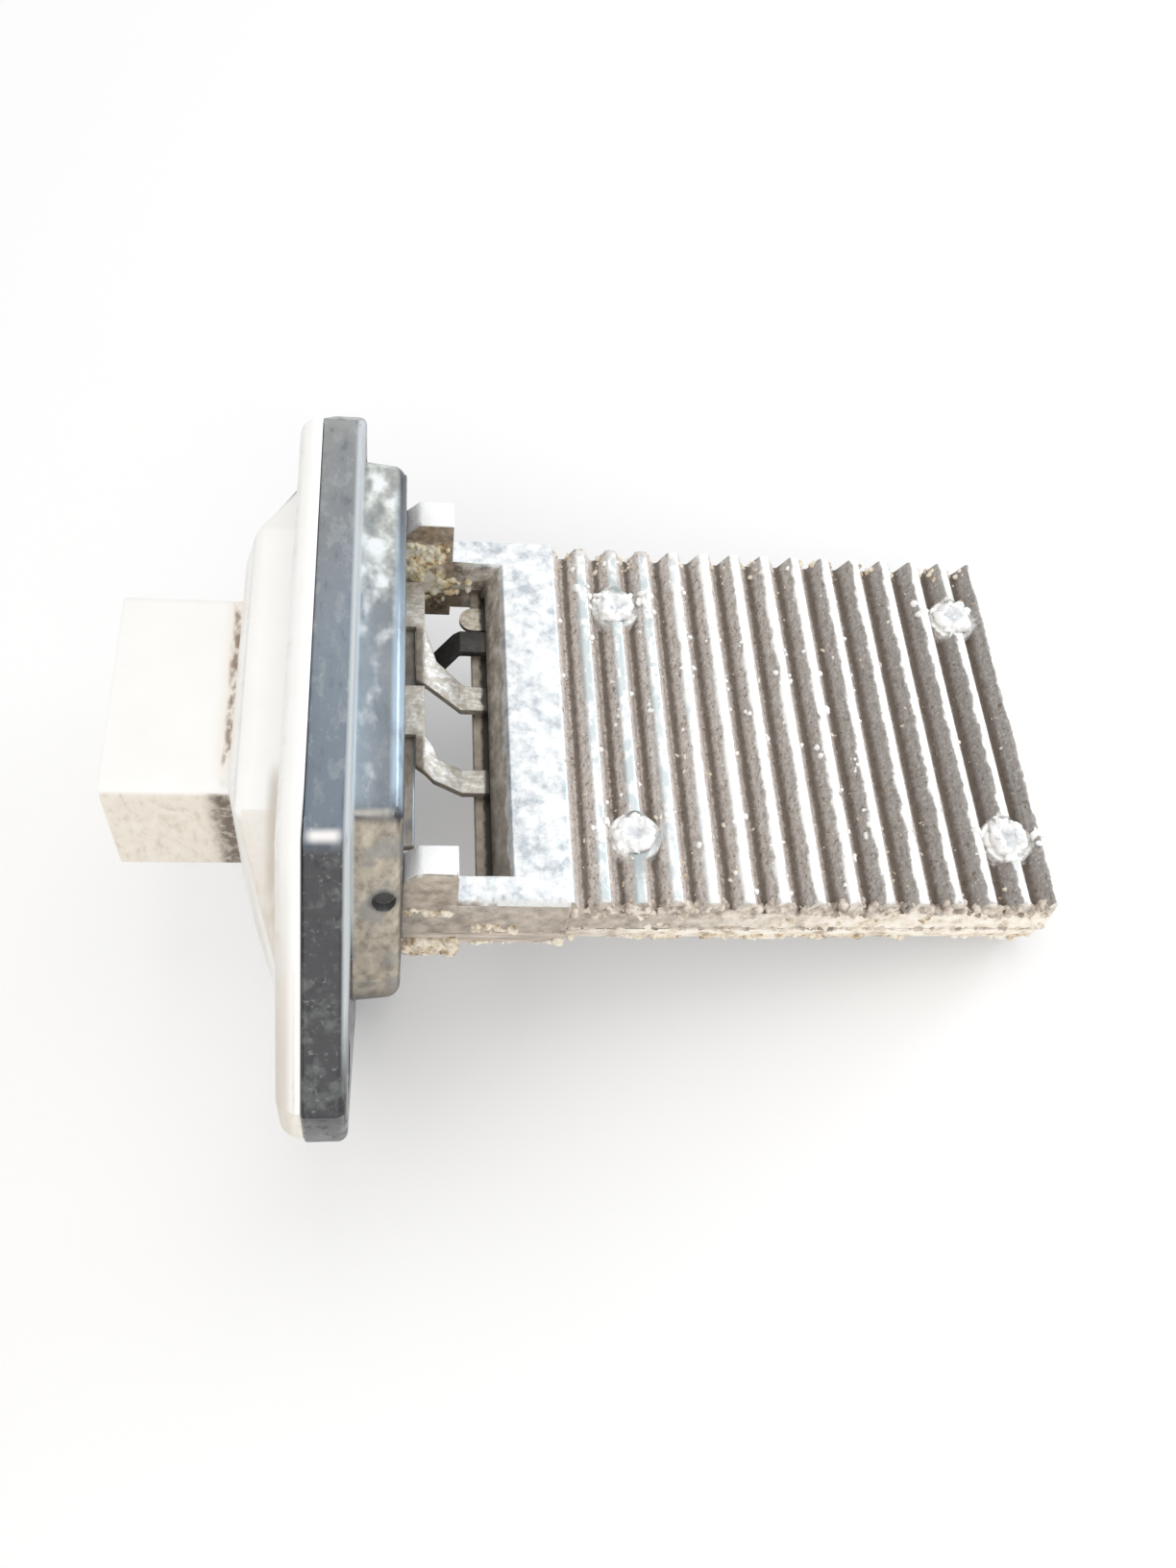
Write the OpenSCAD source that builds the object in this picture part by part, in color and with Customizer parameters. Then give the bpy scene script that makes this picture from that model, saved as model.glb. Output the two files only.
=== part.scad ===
// Blower motor resistor for a heater duct.
// A connector housing and a mounting flange carry a riveted two-half cast heat sink on two arms.
// Millimetres. X runs into the duct, Y runs along the ribs, Z is the normal of the heat sink.
// The origin is the middle of the flange face that seats on the duct wall.

/* [Flange] */
// Half length of the straight top and bottom edges
flange_kink_y = 27; // [25.5:0.5:32]
// Half height of the flange
flange_half_h = 23.2; // [22.6:0.1:27]
// Half length out to the ear ends
flange_end_y = 47.2; // [45.5:0.2:54]
// Half height of the flat ear end
flange_end_h = 4; // [3:0.5:7]
// Thickness of the dark mounting plate
plate_t = 4.35; // [3.6:0.05:6]
// Edge round on the duct side of the plate
plate_edge_r = 1; // [0.4:0.1:1.6]
// Half spacing of the two screw holes
screw_y = 40.5; // [39.5:0.1:41.5]
// Screw hole radius
screw_r = 2.75; // [2:0.05:3.2]

/* [Collar] */
// Length of the collar that enters the duct
collar_len = 5.1; // [4.6:0.1:9]
// Half length of the collar's straight top edge
collar_kink_y = 23.8; // [21:0.2:25]
// Half height of the collar
collar_half_h = 21.2; // [17:0.1:21.8]
// Half length of the collar
collar_end_y = 32.3; // [30.5:0.1:33.5]
// Half height of the collar's flat end
collar_end_h = 4; // [3:0.5:6]
// Edge round on the collar's duct end
collar_edge_r = 1.6; // [0.6:0.1:2]
// Narrowing of the collar towards its duct end, each side
collar_draft = 0.7; // [0:0.1:1]
// Moulded wall thickness of the collar
collar_wall = 2.4; // [1.8:0.1:3]
// Radius of the dimple in the near shoulder
dimple_r = 1.2; // [0.6:0.1:1.6]

/* [Connector housing] */
// Thickness of the light flange behind the plate
back_t = 2.6; // [2.4:0.1:4]
// Edge round on the outside of the light flange
back_edge_r = 2.2; // [1:0.1:2.3]
// Height of the raised mound behind the flange
mound_h = 6; // [4.6:0.1:8]
// Half length of the mound's flat crest
mound_crest_y = 14.4; // [13.8:0.1:20]
// Half length of the mound's foot
mound_foot_y = 34; // [30:0.5:36]
// Half height of the mound
mound_half_h = 14; // [11:0.5:16]
// How far the connector stands out from the mound
shroud_len = 13.7; // [11:0.1:18]
// Outside width of the connector
shroud_w = 26.5; // [25.8:0.1:30]
// Outside height of the connector
shroud_h = 17.2; // [15.4:0.1:20]
// Offset of the connector along Z
shroud_z = -0.5; // [-1:0.1:1]
// Wall thickness of the connector
shroud_wall = 1.5; // [1.2:0.1:1.8]

/* [Heat sink] */
// Gap from the collar to the top of the window's far wall
window_len = 12; // [11.5:0.1:15]
// Width of the plain band between window and first groove
band_w = 6.4; // [5:0.1:9]
// Distance from groove to groove
rib_pitch = 4; // [3.7:0.05:4.4]
// Number of grooves
groove_n = 14; // [13:1:16]
// Groove width at the rib tops
groove_w = 2.8; // [2.2:0.1:3]
// Groove width at its floor
groove_floor_w = 0.6; // [0.3:0.1:1]
// Groove depth
groove_d = 2.4; // [1.6:0.1:2.6]
// Half width of the rib field at its top
sink_half_w = 24.75; // [24:0.05:26]
// Outward draft of the casting's sides down to the split
side_draft = 0.55; // [0.2:0.05:1]
// Extra half width of the plain band and arms over the rib field
band_extra = 0.5; // [0.2:0.05:1]
// Width of the thin last rib
end_rib_w = 0.6; // [0.4:0.1:1.2]
// Height of the upper half
upper_h = 5.6; // [5:0.1:7]
// Height of the lower half's plate
lower_plate_h = 3.3; // [2.8:0.1:4.5]
// Height of the ribs under the lower half
lower_rib_h = 2.3; // [1.5:0.1:3]
// Set back of the lower rib ends from the sides
lower_rib_setback = 2.2; // [1.5:0.1:4]
// Slope of the window's far wall over the upper half
wall_slope = 2.9; // [2.2:0.1:3.1]
// Reach of the lower half past the upper half's wall foot
ledge = 1.1; // [0.8:0.1:1.4]

/* [Arms] */
// Arm width along Y
arm_w = 4.6; // [3.8:0.1:4.9]
// Length of the end lug along X
lug_len = 5.9; // [4.5:0.1:6.5]
// Height of the upper lug above the split
lug_h = 12.5; // [9:0.1:15]
// Depth of the lower lug below the split
lug_low = 4.9; // [4.2:0.1:6.5]
// Length of the tongue that enters the collar
tongue_len = 4; // [3:0.1:5]
// Clearance round a tongue in its socket
tongue_gap = 0.15; // [0.08:0.01:0.3]

/* [Rivets] */
// Half spacing of the rivets along Y
rivet_y = 16.1; // [14:0.1:17.5]
// Rivet shank radius
rivet_r = 1.6; // [1.2:0.05:1.8]
// Rivet head radius
rivet_head_r = 2.35; // [2.2:0.05:2.6]
// Rivet head height
rivet_head_h = 1; // [0.6:0.1:1.3]
// Radius of the cast boss under a head
boss_r = 3; // [2.7:0.05:3.3]
// Clearance round a shank
rivet_gap = 0.1; // [0.05:0.01:0.2]

/* [Element and insulators] */
// Thickness of the stamped resistor sheet
element_t = 0.6; // [0.4:0.05:0.8]
// Thickness of one mica sheet
mica_t = 0.4; // [0.3:0.05:0.6]
// Width of the rim where the halves meet
rim_w = 2.2; // [1.6:0.1:2.8]
// Width of the rim at the far end
end_rim_w = 1.2; // [0.9:0.1:1.4]
// Width of the slots that part the sheet into tracks
track_gap = 1.4; // [0.8:0.1:1.8]

/* [Leads] */
// Thickness of a lead
lead_t = 1; // [0.8:0.05:1.1]
// Height of the upper row of leads above the split
row_up_z = 3.2; // [2.8:0.1:3.6]
// Depth of the lower row below the split
row_low_z = 3; // [2.6:0.1:3.4]
// Width of a connector blade
blade_w = 6.3; // [5.6:0.1:6.6]
// Distance between connector columns
blade_pitch = 8; // [7.6:0.1:8.3]
// Set back of the blade tips from the connector mouth
blade_setback = 3.4; // [2:0.1:5]
// Reach of the collar's shelf under the upper leads
shelf_len = 1.4; // [1:0.1:1.9]
// Thickness of that shelf
shelf_t = 1.2; // [0.8:0.1:1.6]
// Distance of the shelf's near end from the middle
shelf_near = 16.5; // [13:0.5:19]
// Clearance round a lead in a slot
lead_gap = 0.15; // [0.05:0.01:0.25]
// Width of an upper lead where it leaves the collar
head_w = 6.9; // [5.5:0.1:7.4]
// Width of the lower lead where it leaves the collar
low_head_w = 3.3; // [2.4:0.1:4]
// Middle of the far lead at the collar
far_head_y = 16.45; // [15.8:0.05:17]
// Middle of the middle lead at the collar
mid_head_y = 0.95; // [0.4:0.05:1.5]
// Middle of the lower lead at the collar
low_head_y = 10.15; // [9.4:0.05:10.8]
// Width of a lead where it enters the heat sink
land_w = 3.2; // [2.4:0.1:3.8]
// Middle of the far lead at the heat sink
far_land_y = 4.2; // [3.4:0.05:5]
// Middle of the middle lead at the heat sink
mid_land_y = -7.25; // [-7.6:0.05:-6.4]
// Middle of the lower lead at the heat sink
low_land_y = 12.8; // [12:0.05:13.4]

/* [Hidden] */
$fn = 48;
eps = 0.01;
plate_x0 = -plate_t;
back_x0 = plate_x0 - back_t;
mound_x0 = back_x0 - mound_h;
shroud_x0 = mound_x0 - shroud_len;
floor_t = 2.2;
floor_x1 = mound_x0 + 1.4;
floor_x0 = floor_x1 - floor_t;
wall_top_x = collar_len + window_len;
wall_foot_x = wall_top_x - wall_slope;
ledge_x = wall_foot_x - ledge;
groove_x0 = wall_top_x + band_w;
sink_x1 = groove_x0 + (groove_n - 1) * rib_pitch + groove_w + end_rib_w;
base_half_w = sink_half_w + side_draft;
band_half_w = base_half_w + band_extra;
arm_in_y = band_half_w - arm_w;
arm_x0 = collar_len;
tongue_w = arm_w - 1.3;
tongue_y = band_half_w - arm_w / 2;
tongue_up = 4;
tongue_down = 2.4;
rib_top_w = rib_pitch - groove_w;
rib_mid = groove_w + rib_top_w / 2;
rivet_x1 = groove_x0 + rib_pitch + rib_mid;
rivet_x2 = groove_x0 + (groove_n - 2) * rib_pitch + rib_mid;
rivet_xs = [rivet_x1, rivet_x2];
boss_top = upper_h - 0.9;
boss_low = -(lower_plate_h + lower_rib_h - 0.9);
pocket_d = mica_t + element_t / 2;
pocket_half_w = base_half_w - rim_w - side_draft;
pocket_x1 = sink_x1 - end_rim_w;
slot_z = element_t / 2 + lead_t / 2;
mouth_d = element_t / 2 + lead_t + 0.3;
lead_end_x = wall_foot_x + 3;
mouth_x1 = lead_end_x + 0.5;
sheet_x0 = mouth_x1 + 0.5;
sheet_x1 = pocket_x1 - 0.8;
sheet_half_w = pocket_half_w - 0.6;
blade_tip_x = shroud_x0 + blade_setback;
jog_x0 = plate_x0 + 0.4;
jog_x1 = collar_len - collar_wall - 1.2;
neck_x = collar_len + 2.5;
shelf_top = row_up_z - lead_t / 2 - lead_gap;
ramp_x1 = ledge_x - 1.2;
far_head = span(far_head_y, head_w);
mid_head = span(mid_head_y, head_w);
low_head = span(low_head_y, low_head_w);
far_land = span(far_land_y, land_w);
mid_land = span(mid_land_y, land_w);
low_land = span(low_land_y, land_w);
bend = 1.1;
spare_tab_y = 17;
spare_tab_r = 1.7;

// Sweeps a drawing of X and Z along Y, both ways from the middle.
module along_y(w) {
    rotate([90, 0, 0]) linear_extrude(height = w, center = true) children();
}

// Sweeps a drawing of Y and Z along X.
module along_x(x0, x1) {
    translate([x0, 0, 0]) rotate([90, 0, 90]) linear_extrude(height = x1 - x0) children();
}

// Lowest and highest Y of a strip from its middle and width.
function span(y, w) = [y - w / 2, y + w / 2];

// Points of an arc.
function arc(c, r, a0, a1, n) =
    [for (i = [0 : n]) let (a = a0 + (a1 - a0) * i / n) [c[0] + r * cos(a), c[1] + r * sin(a)]];

// The eight corners shared by flange, plate and collar.
function octagon(ky, h, ey, eh) = [[ey, -eh], [ey, eh], [ky, h], [-ky, h],
    [-ey, eh], [-ey, -eh], [-ky, -h], [ky, -h]];

// Section of a plate between two X planes, narrowed and rounded on the x1 side.
module plate_section(d, x0, x1, r, draft) {
    s = sign(x1 - x0);
    e = d - draft;
    top = [for (a = arc([0, 0], r, 90, 0, 6)) [x1 - s * r + s * a[0], e - r + a[1]]];
    low = [for (a = arc([0, 0], r, 0, -90, 6)) [x1 - s * r + s * a[0], -e + r + a[1]]];
    polygon(concat([[x0, -d], [x0, d]], top, low));
}

// An eight-sided plate whose outer edge is rounded on the x1 side.
module round_plate(ky, h, ey, eh, x0, x1, r, draft = 0) {
    slope = atan2(ey - ky, h - eh);
    slope_d = cos(slope) * ky + sin(slope) * h;
    reach = 4 * ey;
    intersection() {
        along_y(reach) plate_section(h, x0, x1, r, draft);
        rotate([90, 0, 0]) along_y(reach) plate_section(ey, x0, x1, r, draft);
        rotate([slope - 90, 0, 0]) along_y(reach) plate_section(slope_d, x0, x1, r, draft);
        rotate([90 - slope, 0, 0]) along_y(reach) plate_section(slope_d, x0, x1, r, draft);
    }
}

// A box from two opposite corners.
module block(a, b) {
    translate(a) cube(b - a);
}

// A rectangle with rounded corners, drawn as points.
module round_rect(w, h, r) {
    polygon(concat(arc([w / 2 - r, h / 2 - r], r, 0, 90, 6),
        arc([-w / 2 + r, h / 2 - r], r, 90, 180, 6),
        arc([-w / 2 + r, -h / 2 + r], r, 180, 270, 6),
        arc([w / 2 - r, -h / 2 + r], r, 270, 360, 6)));
}

module screw_holes(x0, x1, r) {
    for (s = [-1, 1])
        translate([x0, s * screw_y, 0]) rotate([0, 90, 0]) cylinder(r = r, h = x1 - x0);
}

// The column and row positions that carry a blade. The near column stays empty.
function blade_places() = [[blade_pitch, row_up_z], [0, row_up_z], [blade_pitch, -row_low_z]];

module connector_housing() {
    color([0.87, 0.83, 0.75])
    difference() {
        union() {
            round_plate(flange_kink_y, flange_half_h, flange_end_y - 0.4, flange_end_h,
                plate_x0, back_x0, back_edge_r);
            intersection() {
                round_plate(mound_crest_y + 4, mound_half_h, mound_foot_y + 3, flange_end_h,
                    plate_x0, mound_x0, 2.6);
                linear_extrude(height = 4 * flange_half_h, center = true)
                    polygon([[plate_x0 - 1, -mound_foot_y], [plate_x0 - 1, mound_foot_y],
                        [back_x0, mound_foot_y], [mound_x0, mound_crest_y],
                        [mound_x0, -mound_crest_y], [back_x0, -mound_foot_y]]);
            }
            translate([0, 0, shroud_z])
                along_x(shroud_x0, mound_x0 + 1) round_rect(shroud_w, shroud_h, 1.6);
        }
        // mouth of the connector
        translate([0, 0, shroud_z]) along_x(shroud_x0 - 1, floor_x0)
            round_rect(shroud_w - 2 * shroud_wall, shroud_h - 2 * shroud_wall, 1);
        // room for the leads behind the flange
        block([floor_x1, -shroud_w / 2 + 0.4, -shroud_h / 2 + 1.6 + shroud_z],
            [plate_x0 + 1, shroud_w / 2 - 0.4, shroud_h / 2 - 1.6 + shroud_z]);
        // blade slots through the floor
        for (p = blade_places())
            block([floor_x0 - 1, p[0] - blade_w / 2 - lead_gap, p[1] - lead_t / 2 - lead_gap],
                [floor_x1 + 1, p[0] + blade_w / 2 + lead_gap, p[1] + lead_t / 2 + lead_gap]);
        screw_holes(mound_x0 - 1, plate_x0 + 1, screw_r);
    }
}

module mounting_flange() {
    color([0.16, 0.17, 0.19])
    difference() {
        union() {
            round_plate(flange_kink_y, flange_half_h, flange_end_y, flange_end_h,
                plate_x0, 0, plate_edge_r);
            round_plate(collar_kink_y, collar_half_h, collar_end_y, collar_end_h,
                plate_x0, collar_len, collar_edge_r, collar_draft);
            // shelf under the upper leads
            block([collar_len - 1, -shelf_near, shelf_top - shelf_t],
                [collar_len + shelf_len, far_head[1] - 0.5, shelf_top]);
        }
        // hollow behind the end wall
        difference() {
            along_x(plate_x0 - 1, collar_len - collar_wall)
                polygon(octagon(collar_kink_y - 1.6, collar_half_h - collar_wall,
                    collar_end_y - collar_wall, collar_end_h));
            // stiffening ribs and socket blocks left standing in the hollow
            for (s = [-1, 1])
                block([plate_x0 + 1.5, s * tongue_y - tongue_w / 2 - 1.6, -collar_half_h],
                    [collar_len, s * tongue_y + tongue_w / 2 + 1.6, collar_half_h]);
        }
        // sockets for the tongues of the heat sink
        for (s = [-1, 1])
            block([collar_len - tongue_len - 0.4, s * tongue_y - tongue_w / 2 - tongue_gap,
                    -tongue_down - tongue_gap],
                [collar_len + 1, s * tongue_y + tongue_w / 2 + tongue_gap, tongue_up + tongue_gap]);
        // slots for the leads
        for (h = [far_head, mid_head])
            block([jog_x1, h[0] - lead_gap, row_up_z - lead_t / 2 - lead_gap],
                [collar_len + 1, h[1] + lead_gap, row_up_z + lead_t / 2 + lead_gap]);
        block([jog_x1, low_head[0] - lead_gap, -row_low_z - lead_t / 2 - lead_gap],
            [collar_len + 1, low_head[1] + lead_gap, -row_low_z + lead_t / 2 + lead_gap]);
        // dimple in the near shoulder
        translate([collar_len / 2 + 0.7, -(collar_kink_y + collar_end_y) / 2,
                (collar_half_h + collar_end_h) / 2 - 0.8])
            rotate([-atan2(collar_end_y - collar_kink_y, collar_half_h - collar_end_h), 0, 0])
            rotate([90, 0, 0]) cylinder(r = dimple_r, h = 3.4, center = true);
        screw_holes(plate_x0 - 1, 1, screw_r);
    }
}

// Section of the upper half: window wall, plain band and drafted grooves.
module upper_section() {
    side = (groove_w - groove_floor_w) / 2;
    grooves = [for (i = [0 : groove_n - 1]) let (x = groove_x0 + i * rib_pitch)
        each [[x, upper_h], [x + side, upper_h - groove_d],
            [x + side + groove_floor_w, upper_h - groove_d], [x + groove_w, upper_h]]];
    polygon(concat([[wall_foot_x, 0], [wall_top_x, upper_h]], grooves,
        [[sink_x1, upper_h], [sink_x1 + 0.3, 0]]));
}

// Sides of the casting, drafted outwards to the split.
module side_section(h) {
    polygon([[-base_half_w, 0], [-sink_half_w, h], [sink_half_w, h], [base_half_w, 0]]);
}

// One arm seen along X, with draft on both sides.
module arm_section(h) {
    k = side_draft * h / upper_h;
    polygon([[arm_in_y, 0], [arm_in_y + 0.4, h], [band_half_w - k, h], [band_half_w, 0]]);
}

module rivet_holes() {
    for (x = rivet_xs, s = [-1, 1])
        translate([x, s * rivet_y, -20]) cylinder(r = rivet_r + rivet_gap, h = 40);
}

module upper_heat_sink() {
    color([0.66, 0.65, 0.63])
    difference() {
        union() {
            intersection() {
                along_y(3 * base_half_w) upper_section();
                along_x(0, sink_x1 + 5) side_section(upper_h);
            }
            for (s = [0, 1]) mirror([0, s, 0]) {
                along_x(arm_x0 + lug_len - 1, groove_x0 - 0.4) arm_section(upper_h);
                // upright lug with a cut corner towards the collar
                intersection() {
                    along_x(arm_x0, arm_x0 + lug_len)
                        polygon([[arm_in_y, 0], [arm_in_y + 0.3, lug_h],
                            [band_half_w - side_draft, lug_h], [band_half_w, 0]]);
                    along_y(3 * base_half_w)
                        polygon([[arm_x0, 0], [arm_x0 + lug_len, 0], [arm_x0 + lug_len - 0.2, lug_h],
                            [arm_x0 + 1.6, lug_h], [arm_x0, lug_h - 1.8]]);
                }
                block([arm_x0 - tongue_len, tongue_y - tongue_w / 2, 0],
                    [arm_x0 + 1, tongue_y + tongue_w / 2, tongue_up]);
            }
            for (x = rivet_xs, s = [-1, 1])
                translate([x, s * rivet_y, 1]) cylinder(r1 = boss_r + 0.4, r2 = boss_r, h = boss_top - 1);
        }
        // rib tops cleared over each boss so that the head can be set
        for (x = rivet_xs, s = [-1, 1])
            translate([x, s * rivet_y, boss_top]) cylinder(r = boss_r - 0.2, h = 5);
        // pocket for the element and its insulators
        block([wall_foot_x - 2, -pocket_half_w, -1], [pocket_x1, pocket_half_w, pocket_d]);
        // taller mouth where the leads are joined
        block([wall_foot_x - 2, -arm_in_y + 1.2, -1], [mouth_x1, arm_in_y - 1.2, mouth_d]);
        rivet_holes();
    }
}

// Section of the lower half's ribs, sunk a little into the plate.
module lower_rib_section() {
    side = (groove_w - groove_floor_w) / 2;
    for (i = [0 : groove_n - 1]) {
        x = groove_x0 + i * rib_pitch + groove_w;
        polygon([[x - side * 0.9, -lower_plate_h + 0.4], [x, -lower_plate_h - lower_rib_h],
            [min(x + rib_top_w, sink_x1), -lower_plate_h - lower_rib_h],
            [min(x + rib_top_w + side * 0.9, sink_x1), -lower_plate_h + 0.4]]);
    }
}

module lower_heat_sink() {
    color([0.6, 0.58, 0.55])
    difference() {
        union() {
            intersection() {
                along_y(3 * base_half_w)
                    polygon([[ledge_x, 0], [sink_x1 + 0.3, 0], [sink_x1, -lower_plate_h],
                        [ledge_x + 1, -lower_plate_h]]);
                mirror([0, 0, 1]) along_x(0, sink_x1 + 5)
                    polygon([[-base_half_w, 0], [-sink_half_w, lower_plate_h],
                        [sink_half_w, lower_plate_h], [base_half_w, 0]]);
            }
            along_y(2 * (sink_half_w - lower_rib_setback)) lower_rib_section();
            for (s = [0, 1]) mirror([0, s, 0]) {
                mirror([0, 0, 1]) along_x(arm_x0 + lug_len - 1, groove_x0 - 0.4)
                    arm_section(lower_plate_h);
                along_x(arm_x0, arm_x0 + lug_len)
                    polygon([[arm_in_y, 0], [arm_in_y + 0.3, -lug_low],
                        [band_half_w - 0.4, -lug_low], [band_half_w, 0]]);
                block([arm_x0 - tongue_len, tongue_y - tongue_w / 2, -tongue_down],
                    [arm_x0 + 1, tongue_y + tongue_w / 2, 0]);
            }
            for (x = rivet_xs, s = [-1, 1])
                translate([x, s * rivet_y, boss_low])
                    cylinder(r1 = boss_r, r2 = boss_r + 0.4, h = -boss_low - 1);
        }
        for (x = rivet_xs, s = [-1, 1])
            translate([x, s * rivet_y, boss_low - 5]) cylinder(r = boss_r - 0.2, h = 5);
        block([ledge_x - 2, -pocket_half_w, -pocket_d], [pocket_x1, pocket_half_w, 1]);
        rivet_holes();
    }
}

module insulator(x0, z0) {
    difference() {
        block([x0, -sheet_half_w - 0.3, z0], [sheet_x1 + 0.3, sheet_half_w + 0.3, z0 + mica_t]);
        rivet_holes();
    }
}

module upper_insulator() {
    color([0.72, 0.66, 0.5]) insulator(mouth_x1 + 0.2, element_t / 2);
}

module lower_insulator() {
    color([0.72, 0.66, 0.5]) insulator(ledge_x + 0.4, -element_t / 2 - mica_t);
}

// Tabs of the element under the lead ends: lowest and highest Y.
function tab_places() = [far_land, mid_land, low_land];

module resistor_element() {
    color([0.55, 0.55, 0.57])
    translate([0, 0, -element_t / 2]) linear_extrude(height = element_t)
    difference() {
        union() {
            translate([sheet_x0, -sheet_half_w]) square([sheet_x1 - sheet_x0, 2 * sheet_half_w]);
            for (t = tab_places())
                translate([ledge_x + 0.5, t[0]]) square([sheet_x0 - ledge_x, t[1] - t[0]]);
            // spare rounded tab that shows in the window
            translate([ledge_x + 0.6, spare_tab_y]) circle(r = spare_tab_r);
            translate([ledge_x + 0.6, spare_tab_y - spare_tab_r])
                square([sheet_x0 - ledge_x, 2 * spare_tab_r]);
        }
        // slots that part the sheet into tracks, from the lead side and then from the far end
        for (t = [[(far_land_y + low_land_y) / 2, 0.9], [(far_land_y + mid_land_y) / 2, 0.78]])
            translate([sheet_x0 - 1, t[0] - track_gap / 2])
                square([1 + t[1] * (sheet_x1 - sheet_x0), track_gap]);
        for (t = [[far_land_y - land_w / 4, 0.72], [mid_land_y + land_w / 2, 0.6]])
            translate([sheet_x1 - t[1] * (sheet_x1 - sheet_x0), t[0] - track_gap / 2])
                square([1 + t[1] * (sheet_x1 - sheet_x0), track_gap]);
        for (x = rivet_xs, s = [-1, 1]) translate([x, s * rivet_y]) circle(r = rivet_r + 1);
    }
}

module rivets() {
    up = boss_top;
    low = boss_low;
    color([0.75, 0.76, 0.78])
    for (x = rivet_xs, s = [-1, 1])
        translate([x, s * rivet_y, 0]) rotate_extrude()
            polygon([[0, low - rivet_head_h * 0.9], [rivet_head_r * 0.7, low - rivet_head_h * 0.8],
                [rivet_head_r, low - rivet_head_h * 0.3], [rivet_head_r, low], [rivet_r, low],
                [rivet_r, up], [rivet_head_r, up], [rivet_head_r, up + rivet_head_h * 0.45],
                [rivet_head_r * 0.82, up + rivet_head_h * 0.9], [rivet_head_r * 0.5, up + rivet_head_h],
                [rivet_head_r * 0.28, up + rivet_head_h * 0.6], [0, up + rivet_head_h * 0.5]]);
}

// A lead is a flat outline in X and Y cut out of a bent strip in X and Z.
module lead(z0, points) {
    h = lead_t / 2;
    intersection() {
        translate([0, 0, -20]) linear_extrude(height = 40) polygon(points);
        along_y(6 * flange_end_y)
            polygon([[blade_tip_x - 1, z0 - h], [neck_x, z0 - h], [ramp_x1, slot_z - h],
                [lead_end_x, slot_z - h], [lead_end_x, slot_z + h], [ramp_x1, slot_z + h],
                [neck_x, z0 + h], [blade_tip_x - 1, z0 + h]]);
    }
}

// Blade outline from its chamfered tip to the jog, upper side then lower side.
function blade_top(y) = [[jog_x0, y + blade_w / 2], [blade_tip_x + 1.2, y + blade_w / 2],
    [blade_tip_x, y + blade_w / 2 - 1.2]];
function blade_low(y) = [[blade_tip_x, y - blade_w / 2 + 1.2], [blade_tip_x + 1.2, y - blade_w / 2],
    [jog_x0, y - blade_w / 2]];

module far_lead() {
    color([0.7, 0.69, 0.66])
    lead(row_up_z, concat(blade_top(blade_pitch), blade_low(blade_pitch),
        [[jog_x1, far_head[0]], [neck_x - bend, far_head[0]],
            [neck_x - bend, far_land[0] + 0.8 * land_w], [ramp_x1, far_land[0]],
            [lead_end_x, far_land[0]], [lead_end_x, far_land[1]],
            [ramp_x1 + bend / 2, far_land[1] + bend / 3], [neck_x + bend * 1.3, far_land[1] + bend * 2.5],
            [neck_x, far_head[0]], [neck_x, far_head[1]], [jog_x1, far_head[1]]]));
}

module middle_lead() {
    color([0.7, 0.69, 0.66])
    lead(row_up_z, concat(blade_top(0), blade_low(0),
        [[jog_x1, mid_head[0]], [neck_x - bend, mid_head[0]],
            [neck_x - bend, mid_land[0] + 0.7 * land_w], [neck_x + bend * 0.9, mid_land[0] + bend / 2],
            [ramp_x1, mid_land[0]], [lead_end_x, mid_land[0]], [lead_end_x, mid_land[1]],
            [ramp_x1, mid_land[1]], [neck_x + bend * 1.5, mid_land[1] + bend / 3],
            [neck_x + bend * 0.9, mid_land[1] + bend * 1.8], [neck_x, mid_head[0]],
            [neck_x, mid_head[1]], [jog_x1, mid_head[1]]]));
}

module lower_lead() {
    color([0.3, 0.29, 0.28])
    lead(-row_low_z, concat(blade_top(blade_pitch), blade_low(blade_pitch),
        [[jog_x1, low_head[0]], [neck_x, low_head[0]], [ramp_x1, low_land[0]],
            [lead_end_x, low_land[0]], [lead_end_x, low_land[1]],
            [ramp_x1 - bend * 0.7, low_land[1]], [neck_x - bend * 0.7, low_head[1]],
            [jog_x1, low_head[1]]]));
}

connector_housing();
mounting_flange();
upper_heat_sink();
lower_heat_sink();
upper_insulator();
lower_insulator();
resistor_element();
rivets();
far_lead();
middle_lead();
lower_lead();
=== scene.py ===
# %% [markdown]
# # A used blower motor resistor
# This part sits in a car's heater duct. A plastic plug housing and a dark flange stay outside, and a ribbed
# aluminium heat sink reaches into the air stream on two arms. The solids already have the right shapes and
# sizes, so this lesson is about the looks: softened edges, cast metal, dust, tarnish and crusted dirt.

# %% Load the solids
import bpy
import bmesh
import math
from mathutils import Matrix, Vector


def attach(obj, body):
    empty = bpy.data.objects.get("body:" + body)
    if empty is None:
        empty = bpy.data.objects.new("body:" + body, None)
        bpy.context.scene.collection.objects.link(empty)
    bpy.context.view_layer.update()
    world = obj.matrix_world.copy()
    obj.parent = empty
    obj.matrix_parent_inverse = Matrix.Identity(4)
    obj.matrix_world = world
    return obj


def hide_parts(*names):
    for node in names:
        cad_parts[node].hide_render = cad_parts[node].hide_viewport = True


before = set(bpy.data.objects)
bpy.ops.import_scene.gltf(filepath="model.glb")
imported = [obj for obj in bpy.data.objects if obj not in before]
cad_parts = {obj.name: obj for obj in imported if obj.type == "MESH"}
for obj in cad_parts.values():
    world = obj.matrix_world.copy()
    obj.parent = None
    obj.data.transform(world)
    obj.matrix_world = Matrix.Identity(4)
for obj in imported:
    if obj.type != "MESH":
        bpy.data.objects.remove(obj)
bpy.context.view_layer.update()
MM = 0.001
print("nodes:", sorted(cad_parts))

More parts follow.
